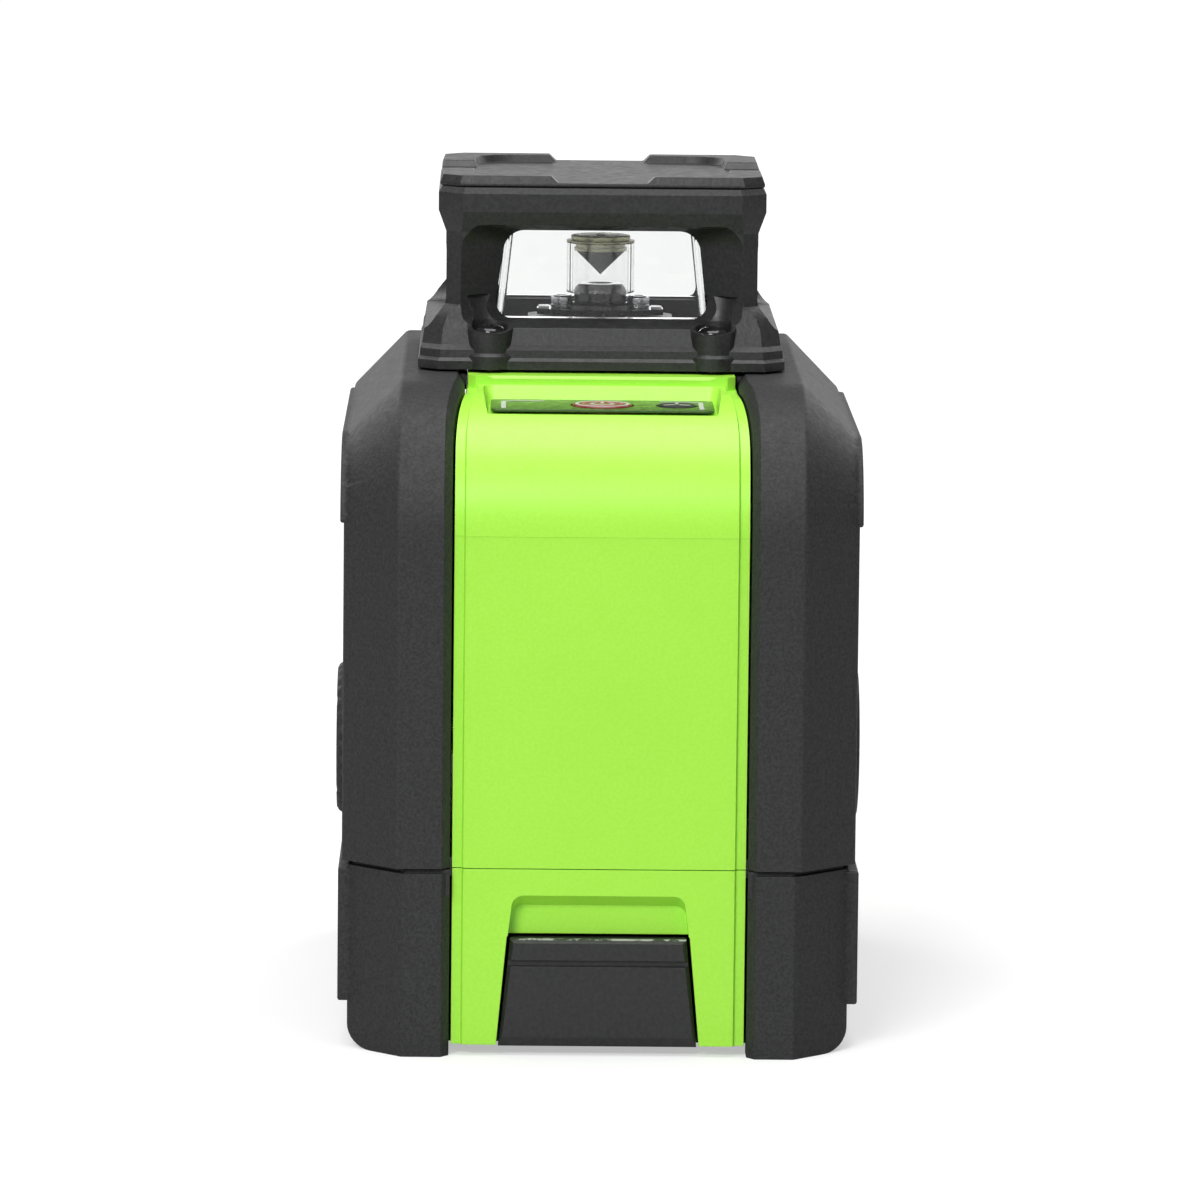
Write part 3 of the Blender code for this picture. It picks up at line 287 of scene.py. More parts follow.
def rounded(half_u, half_v, radius, steps=8, centre=(0.0, 0.0)):
    points = []
    for sign_u, sign_v, start in ((1, 1, 0), (-1, 1, 90), (-1, -1, 180), (1, -1, 270)):
        middle = (centre[0] + sign_u * (half_u - radius), centre[1] + sign_v * (half_v - radius))
        points += arc(middle, radius, start, start + 90, steps)
    return points


def chamfered(half_u, half_v, chamfer):
    return [(half_u, half_v - chamfer), (half_u - chamfer, half_v),
            (chamfer - half_u, half_v), (-half_u, half_v - chamfer),
            (-half_u, chamfer - half_v), (chamfer - half_u, -half_v),
            (half_u - chamfer, -half_v), (half_u, chamfer - half_v)]


def soften(body, wide=0.9, narrow=0.3, gentle=(24, 58), segments=3):
    """Rounds a piece's edges: widely between facets, and a little where faces meet sharply."""
    shape = bmesh.new()
    shape.from_mesh(body.data)
    bmesh.ops.remove_doubles(shape, verts=shape.verts, dist=2e-6)
    weights = shape.edges.layers.float.new("bevel_weight_edge")
    for edge in shape.edges:
        if len(edge.link_faces) == 2:
            bend = math.degrees(edge.calc_face_angle(0.0))
            if bend > gentle[1]:
                edge[weights] = narrow / wide
            elif bend > gentle[0]:
                edge[weights] = 1.0
    shape.to_mesh(body.data)
    shape.free()
    step = body.modifiers.new("edges", "BEVEL")
    step.limit_method = "WEIGHT"
    step.width = wide * MM
    step.segments = segments
    step.miter_outer = "MITER_ARC"
    bake(body)
    smooth(body)


def smooth(body, angle=32):
    body.data.shade_smooth()
    body.data.set_sharp_from_angle(angle=math.radians(angle))
    normals = body.modifiers.new("normals", "WEIGHTED_NORMAL")
    normals.keep_sharp = True
    normals.weight = 60


def show(body, rides, slot, *stands_for, material=None):
    """Gives a finished piece its material, the named one or else the slot's, and its body, and
    hides the nodes it stands for.
    """
    body.data.materials.clear()
    body.data.materials.append(MATERIALS[material or slot])
    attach(body, rides)
    if stands_for:
        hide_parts(*stands_for)
    return body


# ------------------------ materials

DRIFT_SCALE, DRIFT_SHARE = 38, 0.12
# noise scale and grey of the paler patches along the latch's top rear edge
PATCH_SCALE = 420
PATCH_GREY = (0.5, 0.5, 0.5)


def shader_tree(name):
    material = bpy.data.materials.new(name)
    material.use_nodes = True
    tree = material.node_tree
    return material, tree, tree.nodes["Principled BSDF"]


def noise(tree, scale, detail=2.0, roughness=0.5):
    place = tree.nodes.get("Texture Coordinate")
    if place is None:
        place = tree.nodes.new("ShaderNodeTexCoord")
    field = tree.nodes.new("ShaderNodeTexNoise")
    field.inputs["Scale"].default_value = scale
    field.inputs["Detail"].default_value = detail
    field.inputs["Roughness"].default_value = roughness
    tree.links.new(place.outputs["Object"], field.inputs["Vector"])
    return field.outputs["Fac"]


def remap(tree, value, low, high, to_low, to_high):
    step = tree.nodes.new("ShaderNodeMapRange")
    for socket, number in zip(("From Min", "From Max", "To Min", "To Max"),
                              (low, high, to_low, to_high)):
        step.inputs[socket].default_value = number
    tree.links.new(value, step.inputs["Value"])
    return step.outputs["Result"]


def mixed(tree, factor, first, second):
    step = tree.nodes.new("ShaderNodeMix")
    step.data_type = "RGBA"
    tree.links.new(factor, step.inputs["Factor"])
    for socket, value in (("A", first), ("B", second)):
        target = [entry for entry in step.inputs
                  if entry.name == socket and entry.type == "RGBA"][0]
        if isinstance(value, bpy.types.NodeSocket):
            tree.links.new(value, target)
        else:
            target.default_value = (*value, 1.0)
    return [entry for entry in step.outputs if entry.type == "RGBA"][0]


def add_bump(tree, shader, height, strength, depth):
    bump = tree.nodes.new("ShaderNodeBump")
    bump.inputs["Strength"].default_value = strength
    bump.inputs["Distance"].default_value = depth * MM
    tree.links.new(height, bump.inputs["Height"])
    tree.links.new(bump.outputs["Normal"], shader.inputs["Normal"])


def coordinates(tree):
    """The piece's own X, Y and Z, as separate values."""
    parts = tree.nodes.new("ShaderNodeSeparateXYZ")
    tree.links.new(tree.nodes["Texture Coordinate"].outputs["Object"], parts.inputs["Vector"])
    return parts


def moulded(name, dark, light, roughness, grain, bump, depth, specular=0.5):
    """A moulded surface: fine speckled grain, depth in millimetres, and a slow colour drift."""
    material, tree, shader = shader_tree(name)
    speckle = remap(tree, noise(tree, grain, 3.0, 0.6), 0.36, 0.66, 0.0, 1.0)
    colour = mixed(tree, speckle, dark, light)
    drift = remap(tree, noise(tree, DRIFT_SCALE, 3.0), 0.3, 0.7, 0.0, DRIFT_SHARE)
    colour = mixed(tree, drift, colour, [value * 0.8 for value in dark])
    tree.links.new(colour, shader.inputs["Base Color"])
    tree.links.new(remap(tree, noise(tree, grain * 0.4, 2.0), 0.3, 0.7, roughness - 0.05,
                         roughness + 0.06), shader.inputs["Roughness"])
    add_bump(tree, shader, speckle, bump, depth)
    shader.inputs["Specular IOR Level"].default_value = specular
    return material


def pale_patches(material, spans):
    """Paler patches where each coordinate passes from start to full, broken up by noise."""
    tree = material.node_tree
    shader = tree.nodes["Principled BSDF"]
    parts = coordinates(tree)
    share = remap(tree, noise(tree, PATCH_SCALE, 4.0, 0.65), 0.48, 0.56, 0.0, 1.0)
    for axis, start, full in spans:
        edge = remap(tree, parts.outputs[axis], start * MM, full * MM, 0.0, 1.0)
        product = tree.nodes.new("ShaderNodeMath")
        product.operation = "MULTIPLY"
        tree.links.new(edge, product.inputs[0])
        tree.links.new(share, product.inputs[1])
        share = product.outputs["Value"]
    base = shader.inputs["Base Color"].links[0].from_socket
    tree.links.new(mixed(tree, share, base, PATCH_GREY), shader.inputs["Base Color"])


def make_gloss_black():
    material, tree, shader = shader_tree("gloss_black")
    drift = remap(tree, noise(tree, 700, 3.0), 0.3, 0.7, 0.0, 1.0)
    tree.links.new(mixed(tree, drift, (0.008, 0.008, 0.009), (0.016, 0.016, 0.017)),
                   shader.inputs["Base Color"])
    tree.links.new(remap(tree, noise(tree, 300), 0.3, 0.7, 0.12, 0.17),
                   shader.inputs["Roughness"])
    return material


def make_glass():
    material, tree, shader = shader_tree("clear_glass")
    smudge = remap(tree, noise(tree, 120, 4.0, 0.6), 0.45, 0.75, 0.0, 1.0)
    tree.links.new(mixed(tree, smudge, (0.955, 0.960, 0.957), (0.93, 0.938, 0.935)),
                   shader.inputs["Base Color"])
    tree.links.new(remap(tree, smudge, 0.0, 1.0, 0.0, 0.012), shader.inputs["Roughness"])
    shader.inputs["Transmission Weight"].default_value = 1.0
    shader.inputs["IOR"].default_value = 1.46
    return material


def metal(name, dark, light, roughness, stretch=(1, 1, 14), scale=900):
    """Metal with fine tool marks drawn out along one axis."""
    material, tree, shader = shader_tree(name)
    place = tree.nodes.new("ShaderNodeTexCoord")
    draw = tree.nodes.new("ShaderNodeMapping")
    draw.inputs["Scale"].default_value = stretch
    field = tree.nodes.new("ShaderNodeTexNoise")
    field.inputs["Scale"].default_value = scale
    field.inputs["Detail"].default_value = 3.0
    tree.links.new(place.outputs["Object"], draw.inputs["Vector"])
    tree.links.new(draw.outputs["Vector"], field.inputs["Vector"])
    marks = remap(tree, field.outputs["Fac"], 0.32, 0.68, 0.0, 1.0)
    tree.links.new(mixed(tree, marks, dark, light), shader.inputs["Base Color"])
    tree.links.new(remap(tree, marks, 0.0, 1.0, roughness - 0.06, roughness + 0.08),
                   shader.inputs["Roughness"])
    shader.inputs["Metallic"].default_value = 1.0
    add_bump(tree, shader, marks, 0.12, 0.03)
    return material


def make_cell_wrap():
    """Printed wrap: a dark body with a paler band around one end."""
    material, tree, shader = shader_tree("cell_wrap")
    fine = remap(tree, noise(tree, 1600, 2.0), 0.35, 0.65, 0.0, 1.0)
    wrap = mixed(tree, fine, (0.020, 0.022, 0.028), (0.034, 0.037, 0.044))
    parts = coordinates(tree)
    band = remap(tree, parts.outputs["X"], 12.6 * MM, 12.9 * MM, 0.0, 1.0)
    tree.links.new(mixed(tree, band, wrap, (0.62, 0.36, 0.10)), shader.inputs["Base Color"])
    shader.inputs["Metallic"].default_value = 0.4
    tree.links.new(remap(tree, fine, 0.0, 1.0, 0.24, 0.34), shader.inputs["Roughness"])
    return material


# Dark and light colour, roughness, grain scale, bump strength and depth, specular level
MOULDED = {
    "green_plastic": ((0.395, 0.87, 0.058), (0.425, 0.90, 0.075), 0.36, 2400, 0.05, 0.03, 0.45),
    "rubber": ((0.016, 0.016, 0.017), (0.034, 0.034, 0.036), 0.60, 2600, 0.30, 0.07, 0.42),
    "black_plastic": ((0.012, 0.012, 0.013), (0.026, 0.026, 0.027), 0.44, 2200, 0.25, 0.05),
    "latch_plastic": ((0.018, 0.018, 0.019), (0.028, 0.028, 0.029), 0.42, 1800, 0.15, 0.04),
    "label_green": ((0.030, 0.082, 0.012), (0.050, 0.120, 0.018), 0.30, 1500, 0.10, 0.03),
    "red_plastic": ((0.20, 0.014, 0.014), (0.28, 0.022, 0.022), 0.34, 1400, 0.12, 0.03),
    "circuit_board": ((0.012, 0.10, 0.035), (0.02, 0.15, 0.05), 0.35, 900, 0.15, 0.05),
    "white_ink": ((0.533, 0.533, 0.516), (0.62, 0.62, 0.60), 0.38, 3200, 0.15, 0.02),
    "pink_ink": ((0.533, 0.224, 0.224), (0.62, 0.26, 0.26), 0.38, 3200, 0.15, 0.02),
}

# Dark and light colour, roughness, and where needed how the tool marks run
METALS = {
    "dark_metal": ((0.014, 0.014, 0.015), (0.024, 0.024, 0.026), 0.40),
    # the cone mirror's metal is set near black: a painted dark reflection in place of a bright
    # mirror
    "dark_mirror": ((0.05, 0.05, 0.053), (0.08, 0.08, 0.084), 0.14, (1, 1, 1), 300),
    "olive_metal": ((0.20, 0.20, 0.12), (0.34, 0.34, 0.22), 0.30),
    "aluminium": ((0.50, 0.51, 0.53), (0.66, 0.67, 0.69), 0.36),
    "steel": ((0.44, 0.44, 0.46), (0.60, 0.60, 0.62), 0.26),
    "brass": ((0.60, 0.42, 0.17), (0.78, 0.58, 0.27), 0.28),
}

MATERIALS = {name: moulded(name, *look) for name, look in MOULDED.items()}
MATERIALS.update({name: metal(name, *look) for name, look in METALS.items()})
MATERIALS.update({"gloss_black": make_gloss_black(), "clear_glass": make_glass(),
                  "cell_wrap": make_cell_wrap()})
# the latch is paler in patches along its top rear edge
pale_patches(MATERIALS["latch_plastic"], (("Z", LATCH_HIGH.z - 0.22, LATCH_HIGH.z - 0.08),
                                   ("Y", LATCH_LOW.y + 1.1, LATCH_LOW.y + 0.7)))


# ------------------------ housing forms

def side_outline(inset, step=0.0):
    """The housing seen from the side, as (y, z), moved inwards by inset.

    With step, the rear wall below the crest lies that much further in.
    """
    rear, front, top = inset - HALF_DEPTH, HALF_DEPTH - inset, TOP_Z - inset
    crest = (CREST_RADIUS - HALF_DEPTH, TOP_Z - CREST_RADIUS)
    run, drop = HALF_DEPTH - SLOPE_TOP_Y, TOP_Z - SLOPE_FOOT_Z
    length = math.hypot(run, drop)
    across = (drop * SLOPE_TOP_Y + run * TOP_Z) / length - inset
    slope_y = (across * length - run * top) / drop
    slope_z = (across * length - drop * front) / run
    return ([(front, FOOT), (front, slope_z), (slope_y, top)]
            + [(y, top) for y in TOP_STATIONS]
            + arc(crest, CREST_RADIUS - inset, 90, 180, CREST_STEPS)
            + [(rear + step, crest[1] - MOULD_RISE), (rear + step, FOOT)])


def side_form(name, sections, step=0.0):
    """Side outlines strung along x, each moved inwards by its own amount."""
    return loft(name, [[(x, y, z) for y, z in side_outline(inset, step)]
                       for x, inset in sections])


def hollow_form(name, inset, half_width):
    chamfer = CHAMFER - inset * (2 - math.sqrt(2))
    half = half_width - inset
    return side_form(name, [(-half, inset + chamfer), (chamfer - half, inset),
                            (half - chamfer, inset), (half, inset + chamfer)])


def rubber_form(name, side, half_width):
    """The outside of one rubber shell, with its leaning inner rim and its outer facet."""
    return side_form(name, [(side * x, inset) for x, inset in (
        (SPLIT, RIM_DROP), (RIM_X, 0.0), (half_width - CHAMFER, 0.0), (half_width, CHAMFER))])


def green_form(name):
    """The outside of the spine: a raised middle between two narrow strips."""
    inner, outer = STRIP_X
    half = [(inner, SPINE_INSET), (outer, STRIP_INSET), (SPINE_HALF, STRIP_INSET)]
    return side_form(name, [(-x, inset) for x, inset in half[::-1]] + half, MOULD_STEP)


def ramp(value, start, full):
    return min(max((value - start) / (full - start), 0.0), 1.0)


def narrowed(body):
    """Draws the spine's border inwards towards the lantern, over the crest."""
    for vertex in body.data.vertices:
        x, y, z = vertex.co / MM
        if z < NARROW_Z:
            continue
        share = ramp(abs(y), *NARROW_Y)
        reach = share * share * (3 - 2 * share)
        across = abs(x)
        fade = ramp(across, *(GREEN_FADE if across <= SPLIT + RIM_REACH else RUBBER_FADE))
        vertex.co.x -= math.copysign(NARROW * reach * fade * MM, x)


def revolved(name, axis, centre, profile, segments=48):
    """A ring whose section is the closed outline of (radius, position) points."""
    shape = bmesh.new()
    columns = []
    for index in range(segments):
        turn = math.tau * index / segments
        columns.append([shape.verts.new(placed(axis, centre[0] + radius * math.cos(turn),
                                               centre[1] + radius * math.sin(turn), along))
                        for radius, along in profile])
    for index, column in enumerate(columns):
        following = columns[(index + 1) % segments]
        for corner in range(len(profile)):
            after = (corner + 1) % len(profile)
            shape.faces.new((column[corner], column[after], following[after],
                             following[corner]))
    return to_object(name, shape)


# ------------------------ upper housing

def grip_pad(name, side, face, span):
    """A low raised bar along a side face, sloped at its front end."""
    rear, root = PAD_INSET - HALF_DEPTH - 1.0, side * (face - PAD_ROOT)
    outline = [(root, rear), (side * PAD_OUT, rear),
               (side * PAD_OUT, PAD_FRONT_Y - PAD_END_SLOPE), (root, PAD_FRONT_Y)]
    pad = prism(name, outline, "Z", span)
    keep(pad, prism(name + "_side", side_outline(PAD_INSET), "X", (-FAR_X, FAR_X)))
    soften(pad, wide=0.35, narrow=0.3, segments=2)
    return pad


def make_side_shell(side):
    name = "right_shell" if side > 0 else "left_shell"
    shell = rubber_form(name, side, HALF_WIDTH)
    cut(shell, box("below", (-FAR_X, -FAR_Y, -20), (FAR_X, FAR_Y, SEAM_HIGH)))
    cut(shell, hollow_form("hollow", SHELL_WALL, HALF_WIDTH))
    seat = (KNOB_Y, KNOB_Z)
    if side < 0:
        join(shell, rod("seat", "X", seat, KNOB_SEAT, KNOB_RADIUS + 1.1))
        cut(shell, rod("pocket", "X", seat, (-36, -KNOB_POCKET_X), KNOB_RADIUS + 0.4, 64),
            rod("bore", "X", seat, (-36, -20), SHAFT_BORE))
    else:
        root, rim, face = SIDE_BOSS
        boss = turned("boss", "X", seat, [
            (KNOB_RADIUS, root), (KNOB_RADIUS, rim), (KNOB_RADIUS - 0.7, KNOB_OUT),
            (KNOB_RADIUS - 2.0, KNOB_OUT), (KNOB_RADIUS - 2.4, face), (0.0, face)], 64)
        join(shell, boss)
    narrowed(shell)
    near, far = sorted((side * (DECK_HALF + 0.2), side * (DECK_HALF + 3)))
    join(shell, box("deck_flange", (near, -FLANGE_REACH, DECK_FOOT + 0.2),
                    (far, FLANGE_REACH, TOP_Z - 0.3)))
    soften(shell, wide=1.3, narrow=0.32, gentle=(24, 52), segments=4)
    join(shell, grip_pad("pad", side, HALF_WIDTH, UPPER_PAD_Z))
    smooth(shell)
    node = "right_side_shell" if side > 0 else "left_side_shell"
    show(shell, "root", "rubber", node)


def deck(name, low_y, high_y):
    """The spine's raised top under the lantern."""
    middle = (low_y + high_y) / 2
    outline = [(x, y + middle) for x, y in chamfered(DECK_HALF, (high_y - low_y) / 2, 1.0)]
    return prism(name, outline, "Z", (DECK_FOOT, DECK_TOP))


def cut_button_holes(body):
    for name, x, radius in (("power_hole", 0, POWER_RADIUS), ("mode_hole", MODE_X, MODE_RADIUS)):
        cut(body, rod(name, "Z", (x, BUTTON_Y), TOP_BORE, radius + 0.3))


def cut_screw_holes(body, y):
    for side in (-1, 1):
        cut(body, rod("screw_hole", "Z", (side * BOSS_X, y), TOP_BORE, SCREW_BORE))


def make_rear_spine():
    spine = green_form("rear_green")
    keep(spine, box("rear_half", (-FAR_X, -FAR_Y, SEAM_HIGH), (FAR_X, SPINE_HIGH.y, FAR_Z)))
    cut(spine, hollow_form("hollow", SPINE_INNER, HALF_WIDTH))
    narrowed(spine)
    join(spine, deck("rear_deck", -DECK_REACH, SPINE_HIGH.y))
    rear, front = KEYPAD_Y
    middle, half = (rear + front) / 2, (front - rear) / 2
    low = rounded(KEYPAD_HALF, half, 1.2, 6, (0, middle))
    high = rounded(KEYPAD_HALF + 0.9, half + 1.6, 1.8, 6, (0, middle + 1.4))
    cut(spine, stack("keypad_pocket", "Z", [(low, KEYPAD_FLOOR), (high, KEYPAD_FLOOR + 3.4)]))
    cut_button_holes(spine)
    cut_screw_holes(spine, -BOSS_Y)
    soften(spine, wide=0.5, narrow=0.22, gentle=(24, 50))
    show(spine, "root", "green_plastic", "rear_spine")


def slope_place():
    """Takes a flat piece from the origin to the middle of the front slope."""
    run, drop = HALF_DEPTH - SLOPE_TOP_Y, TOP_Z - SLOPE_FOOT_Z
    tilt = math.atan2(drop, run)
    middle = Vector((0, SLOPE_TOP_Y + run / 2, TOP_Z - drop / 2))
    return Matrix.Translation(middle * MM) @ Matrix.Rotation(-tilt, 4, "X")


def port_outline(inset, radius):
    """The window in the front slope, moved inwards by inset."""
    return rounded(8.5 - inset, 11.0 - inset, radius)


def make_front_spine():
    spine = green_form("front_green")
    keep(spine, box("front_half", (-FAR_X, FRONT_LOW.y, SEAM_HIGH), (FAR_X, FAR_Y, FAR_Z)))
    cut(spine, hollow_form("hollow", SPINE_INNER, HALF_WIDTH))
    opening = prism("window_opening", port_outline(0.0, 2.5), "Z", (-8, 8))
    opening.data.transform(slope_place())
    cut(spine, opening)
    narrowed(spine)
    join(spine, deck("front_deck", FRONT_LOW.y, DECK_REACH))
    cut_screw_holes(spine, BOSS_Y)
    soften(spine, wide=0.6, narrow=0.25, gentle=(24, 52))
    show(spine, "root", "green_plastic", "front_spine")
    bezel = prism("window_bezel", port_outline(0.1, 2.4), "Z", (-2.1, -0.7))
    cut(bezel, prism("bezel_hole", port_outline(1.1, 1.6), "Z", (-9, 9)))
    soften(bezel, wide=0.2, narrow=0.15)
    bezel.data.transform(slope_place())
    show(bezel, "root", "gloss_black")


# ------------------------ base

def make_base_shell(side):
    name = "right_base" if side > 0 else "left_base"
    shell = rubber_form(name, side, BASE_HALF_WIDTH)
    inner, foot = 15.0, 3.0
    outline = ([(inner, SEAM_LOW), (inner, 0.0)]
               + arc((BASE_HALF_WIDTH - foot, foot), foot, 270, 360, 8)
               + [(BASE_HALF_WIDTH, SEAM_LOW)])
    keep(shell, prism("section", [(side * x, z) for x, z in outline], "Y", (-60, 60)))
    lip = hollow_form("lip", LIP_DEPTH, BASE_HALF_WIDTH)
    near, far = sorted((side * SPLIT, side * FAR_X))
    keep(lip, box("lip_span", (near, -FAR_Y, SEAM_LOW - 3), (far, FAR_Y, SEAM_HIGH - 0.15)))
    join(shell, lip)
    hollow = hollow_form("hollow", BASE_WALL, BASE_HALF_WIDTH)
    keep(hollow, box("above_rim", (-FAR_X, -FAR_Y, 3.4), (FAR_X, FAR_Y, 60)))
    cut(shell, hollow)
    cut(shell, box("cover_opening", (COVER_LOW.x - 0.3, COVER_LOW.y - 0.3, -2),
                   (COVER_HIGH.x + 0.3, 47.7, 5)))
    soften(shell, wide=1.3, narrow=0.32, gentle=(24, 52), segments=4)
    join(shell, grip_pad("pad", side, BASE_HALF_WIDTH, BASE_PAD_Z))
    smooth(shell)
    node = "right_base_shell" if side > 0 else "left_base_shell"
    show(shell, "root", "rubber", node)


def recess_outline(drop):
    """Sides in line with the latch's, with rounded upper corners lowered by drop."""
    radius, top, foot = 1.5, 20.7 - drop, 12.0
    lean = (LATCH_FOOT_HALF - LATCH_TOP_HALF) / (LATCH_HIGH.z - LATCH_LOW.z)
    def half(z):
        return LATCH_TOP_HALF + 0.4 + (LATCH_HIGH.z - z) * lean
    corner = (half(top) - radius, top - radius)
    return ([(half(foot), foot)] + arc(corner, radius, 0, 90, 8)
            + arc((-corner[0], corner[1]), radius, 90, 180, 8) + [(-half(foot), foot)])


def make_base_rear_panel():
    panel = green_form("base_green_rear")
    keep(panel, box("rear_part", (-FAR_X, -FAR_Y, PANEL_LOW.z),
                    (FAR_X, -40, SEAM_HIGH - GREEN_SEAM)))
    cut(panel, hollow_form("hollow", PANEL_INNER, HALF_WIDTH))
    face = SPINE_INSET - HALF_DEPTH
    cut(panel, stack("finger_recess", "Y", [
        (recess_outline(0.0), -60.0), (recess_outline(0.0), face - 0.1),
        (recess_outline(0.3), face + 0.6), (recess_outline(1.6), face + 2.4)]))
    opening = [(side * (half + 0.4), z) for side, half, z in (
        (-1, LATCH_FOOT_HALF + 0.2, -2.0), (1, LATCH_FOOT_HALF + 0.2, -2.0),
        (1, LATCH_TOP_HALF, 15.4), (-1, LATCH_TOP_HALF, 15.4))]
    cut(panel, prism("latch_opening", opening, "Y", (-60, -40)))
    soften(panel, wide=0.5, narrow=0.25, gentle=(24, 50))
    show(panel, "root", "green_plastic", "base_rear_panel")


def make_latch():
    """A tab over the rear face with two lugs around its pin."""
    rear, top, foot = LATCH_LOW.y, LATCH_HIGH.z, LATCH_LOW.z
    def tab(shrink, lift):
        low, high = LATCH_FOOT_HALF - shrink, LATCH_TOP_HALF - shrink
        return [(-low, foot + lift), (low, foot + lift), (high, top - shrink),
                (-high, top - shrink)]
    latch = stack("latch_tab", "Y", [(tab(0.5, 1.3), rear), (tab(0.05, 0.1), rear + 0.55),
                                     (tab(0.0, 0.0), rear + 1.0), (tab(0.0, 0.0), -47.9)])
    groove = [(rear - 1, 11.2), (rear + 0.5, 11.6), (rear + 0.5, 12.2), (rear - 1, 12.5)]
    cut(latch, prism("grip_groove", groove, "X", (-20, 20)))
    axis = (-45.0, 5.0)
    for side in (-1, 1):
        span = sorted((side * 5.9, side * 8.5))
        join(latch, rod("lug", "X", axis, span, 1.6, 32),
             box("lug_root", (span[0], -48.2, 3.6), (span[1], axis[0], 6.4)))
    cut(latch, rod("bore", "X", axis, (-20, 20), 1.0, 32))
    soften(latch, wide=0.3, narrow=0.22, gentle=(16, 58))
    show(latch, "battery_latch", "black_plastic", "battery_latch", material="latch_plastic")


def make_tripod_insert():
    """A brass insert with the ridges of a quarter-inch thread."""
    pitch, turns, thread = 1.27, 7, 3.175
    crest, root, outer = thread - 0.5, thread + 0.1, INSERT_HIGH.x
    profile = [(outer, INSERT_LOW.z + 0.1), (outer, INSERT_HIGH.z), (root, INSERT_HIGH.z)]
    for turn in range(turns):
        level = INSERT_HIGH.z - 0.15 - pitch * turn
        profile += [(root, level), (crest, level - 0.45 * pitch), (crest, level - 0.55 * pitch)]
    profile += [(root + 0.35, INSERT_LOW.z), (outer - 0.3, INSERT_LOW.z)]
    insert = revolved("threaded_insert", "Z", (0, (INSERT_LOW.y + INSERT_HIGH.y) / 2), profile)
    smooth(insert, 25)
    show(insert, "root", "brass", "tripod_insert")


# ------------------------ lantern

def window_cutter(name, turns):
    """The flared opening between two pillars, wider outside than inside."""
    layers = []
    for reach in (14.5, 25.5):
        out = reach - OPENING_REACH
        half_x, half_z = (half + flare * out for half, flare in zip(OPENING_HALF, OPENING_FLARE))
        outline = rounded(half_x, half_z, 2.4 + 0.25 * out, 8, (0, sum(WINDOW_Z) / 2))
        layers.append((outline, reach))
    cutter = stack(name, "Y", layers)
    cutter.data.transform(Matrix.Rotation(turns * math.pi / 2, 4, "Z"))
    return cutter


def glass_half(height):
    share = (height - GLASS_LOW.z) / (GLASS_HIGH.z - GLASS_LOW.z)
    return GLASS_HALF[0] + (GLASS_HALF[1] - GLASS_HALF[0]) * share


def pane_form(name, low, high, wall, chamfer):
    return stack(name, "Z", [(chamfered(glass_half(z) - wall, glass_half(z) - wall, chamfer), z)
                             for z in (low, high)])


def make_lantern_frame():
    foot = ((23.7, 23.3, 2.6, 84.7), (23.7, 23.3, 2.6, 85.8), (23.5, 22.9, 2.6, 86.2),
            (23.4, 22.8, 2.6, 87.2), (23.2, 22.0, 2.5, 87.8), (22.9, 21.0, 2.4, 89.8),
            (22.3, 20.6, 2.3, 91.3), (21.4, 20.3, 2.2, 92.2), (20.5, 20.2, 2.1, 92.8))
    pillars = ((20.2, 20.2, 2.0, 93.6), (20.2, 20.2, 2.0, WINDOW_Z[1]))
    beam = ((21.2, 21.2, 3.2, 104.9), (21.2, 21.2, 3.2, 107.25),
            (20.75, 20.75, 3.0, LANTERN_HIGH.z))
    body = stack("lantern_cage", "Z", [(chamfered(half_x, half_y, chamfer), z)
                                       for half_x, half_y, chamfer, z in foot + pillars + beam])
    for side_x in (-1, 1):
        for side_y in (-1, 1):
            seat = (side_x * BOSS_X, side_y * BOSS_Y)
            join(body, turned("boss", "Z", seat, [
                (BOSS_FOOT_RADIUS, LANTERN_LOW.z + 0.05), (BOSS_FOOT_RADIUS, 86.4),
                (BOSS_RADIUS, 86.8),
                (BOSS_RADIUS, BOSS_TOP - 0.3), (BOSS_RADIUS - 0.2, BOSS_TOP)]))
            cut(body, turned("pocket", "Z", seat, [(2.3, 88.6), (2.4, BOSS_TOP), (2.6, 91.2),
                                                   (3.4, 94)]),
                rod("bore", "Z", seat, (80, 92), SCREW_BORE))
    cut(body, pane_form("hollow", GLASS_LOW.z - 0.3, 105.0, -0.4, GLASS_CHAMFER))
    cut(body, box("throat", (-14, -14, 80), (14, 14, 95)))
    pocket = PLUG_HALF + 0.3
    cut(body, box("plug_pocket", (-pocket, -pocket, 104.0), (pocket, pocket, 112)))
    for turns in range(4):
        cut(body, window_cutter("opening", turns))
    soften(body, wide=0.4, narrow=0.2, gentle=(20, 58))
    show(body, "root", "black_plastic", "lantern_frame")


def make_lantern_glass():
    pane = pane_form("lantern_glass", GLASS_LOW.z, GLASS_HIGH.z, 0.0, GLASS_CHAMFER)
    cut(pane, pane_form("hollow", GLASS_LOW.z - 1, GLASS_HIGH.z + 1, GLASS_WALL,
                        GLASS_CHAMFER - 0.5))
    soften(pane, wide=0.25, narrow=0.15, gentle=(20, 58))
    show(pane, "root", "clear_glass", "lantern_window")


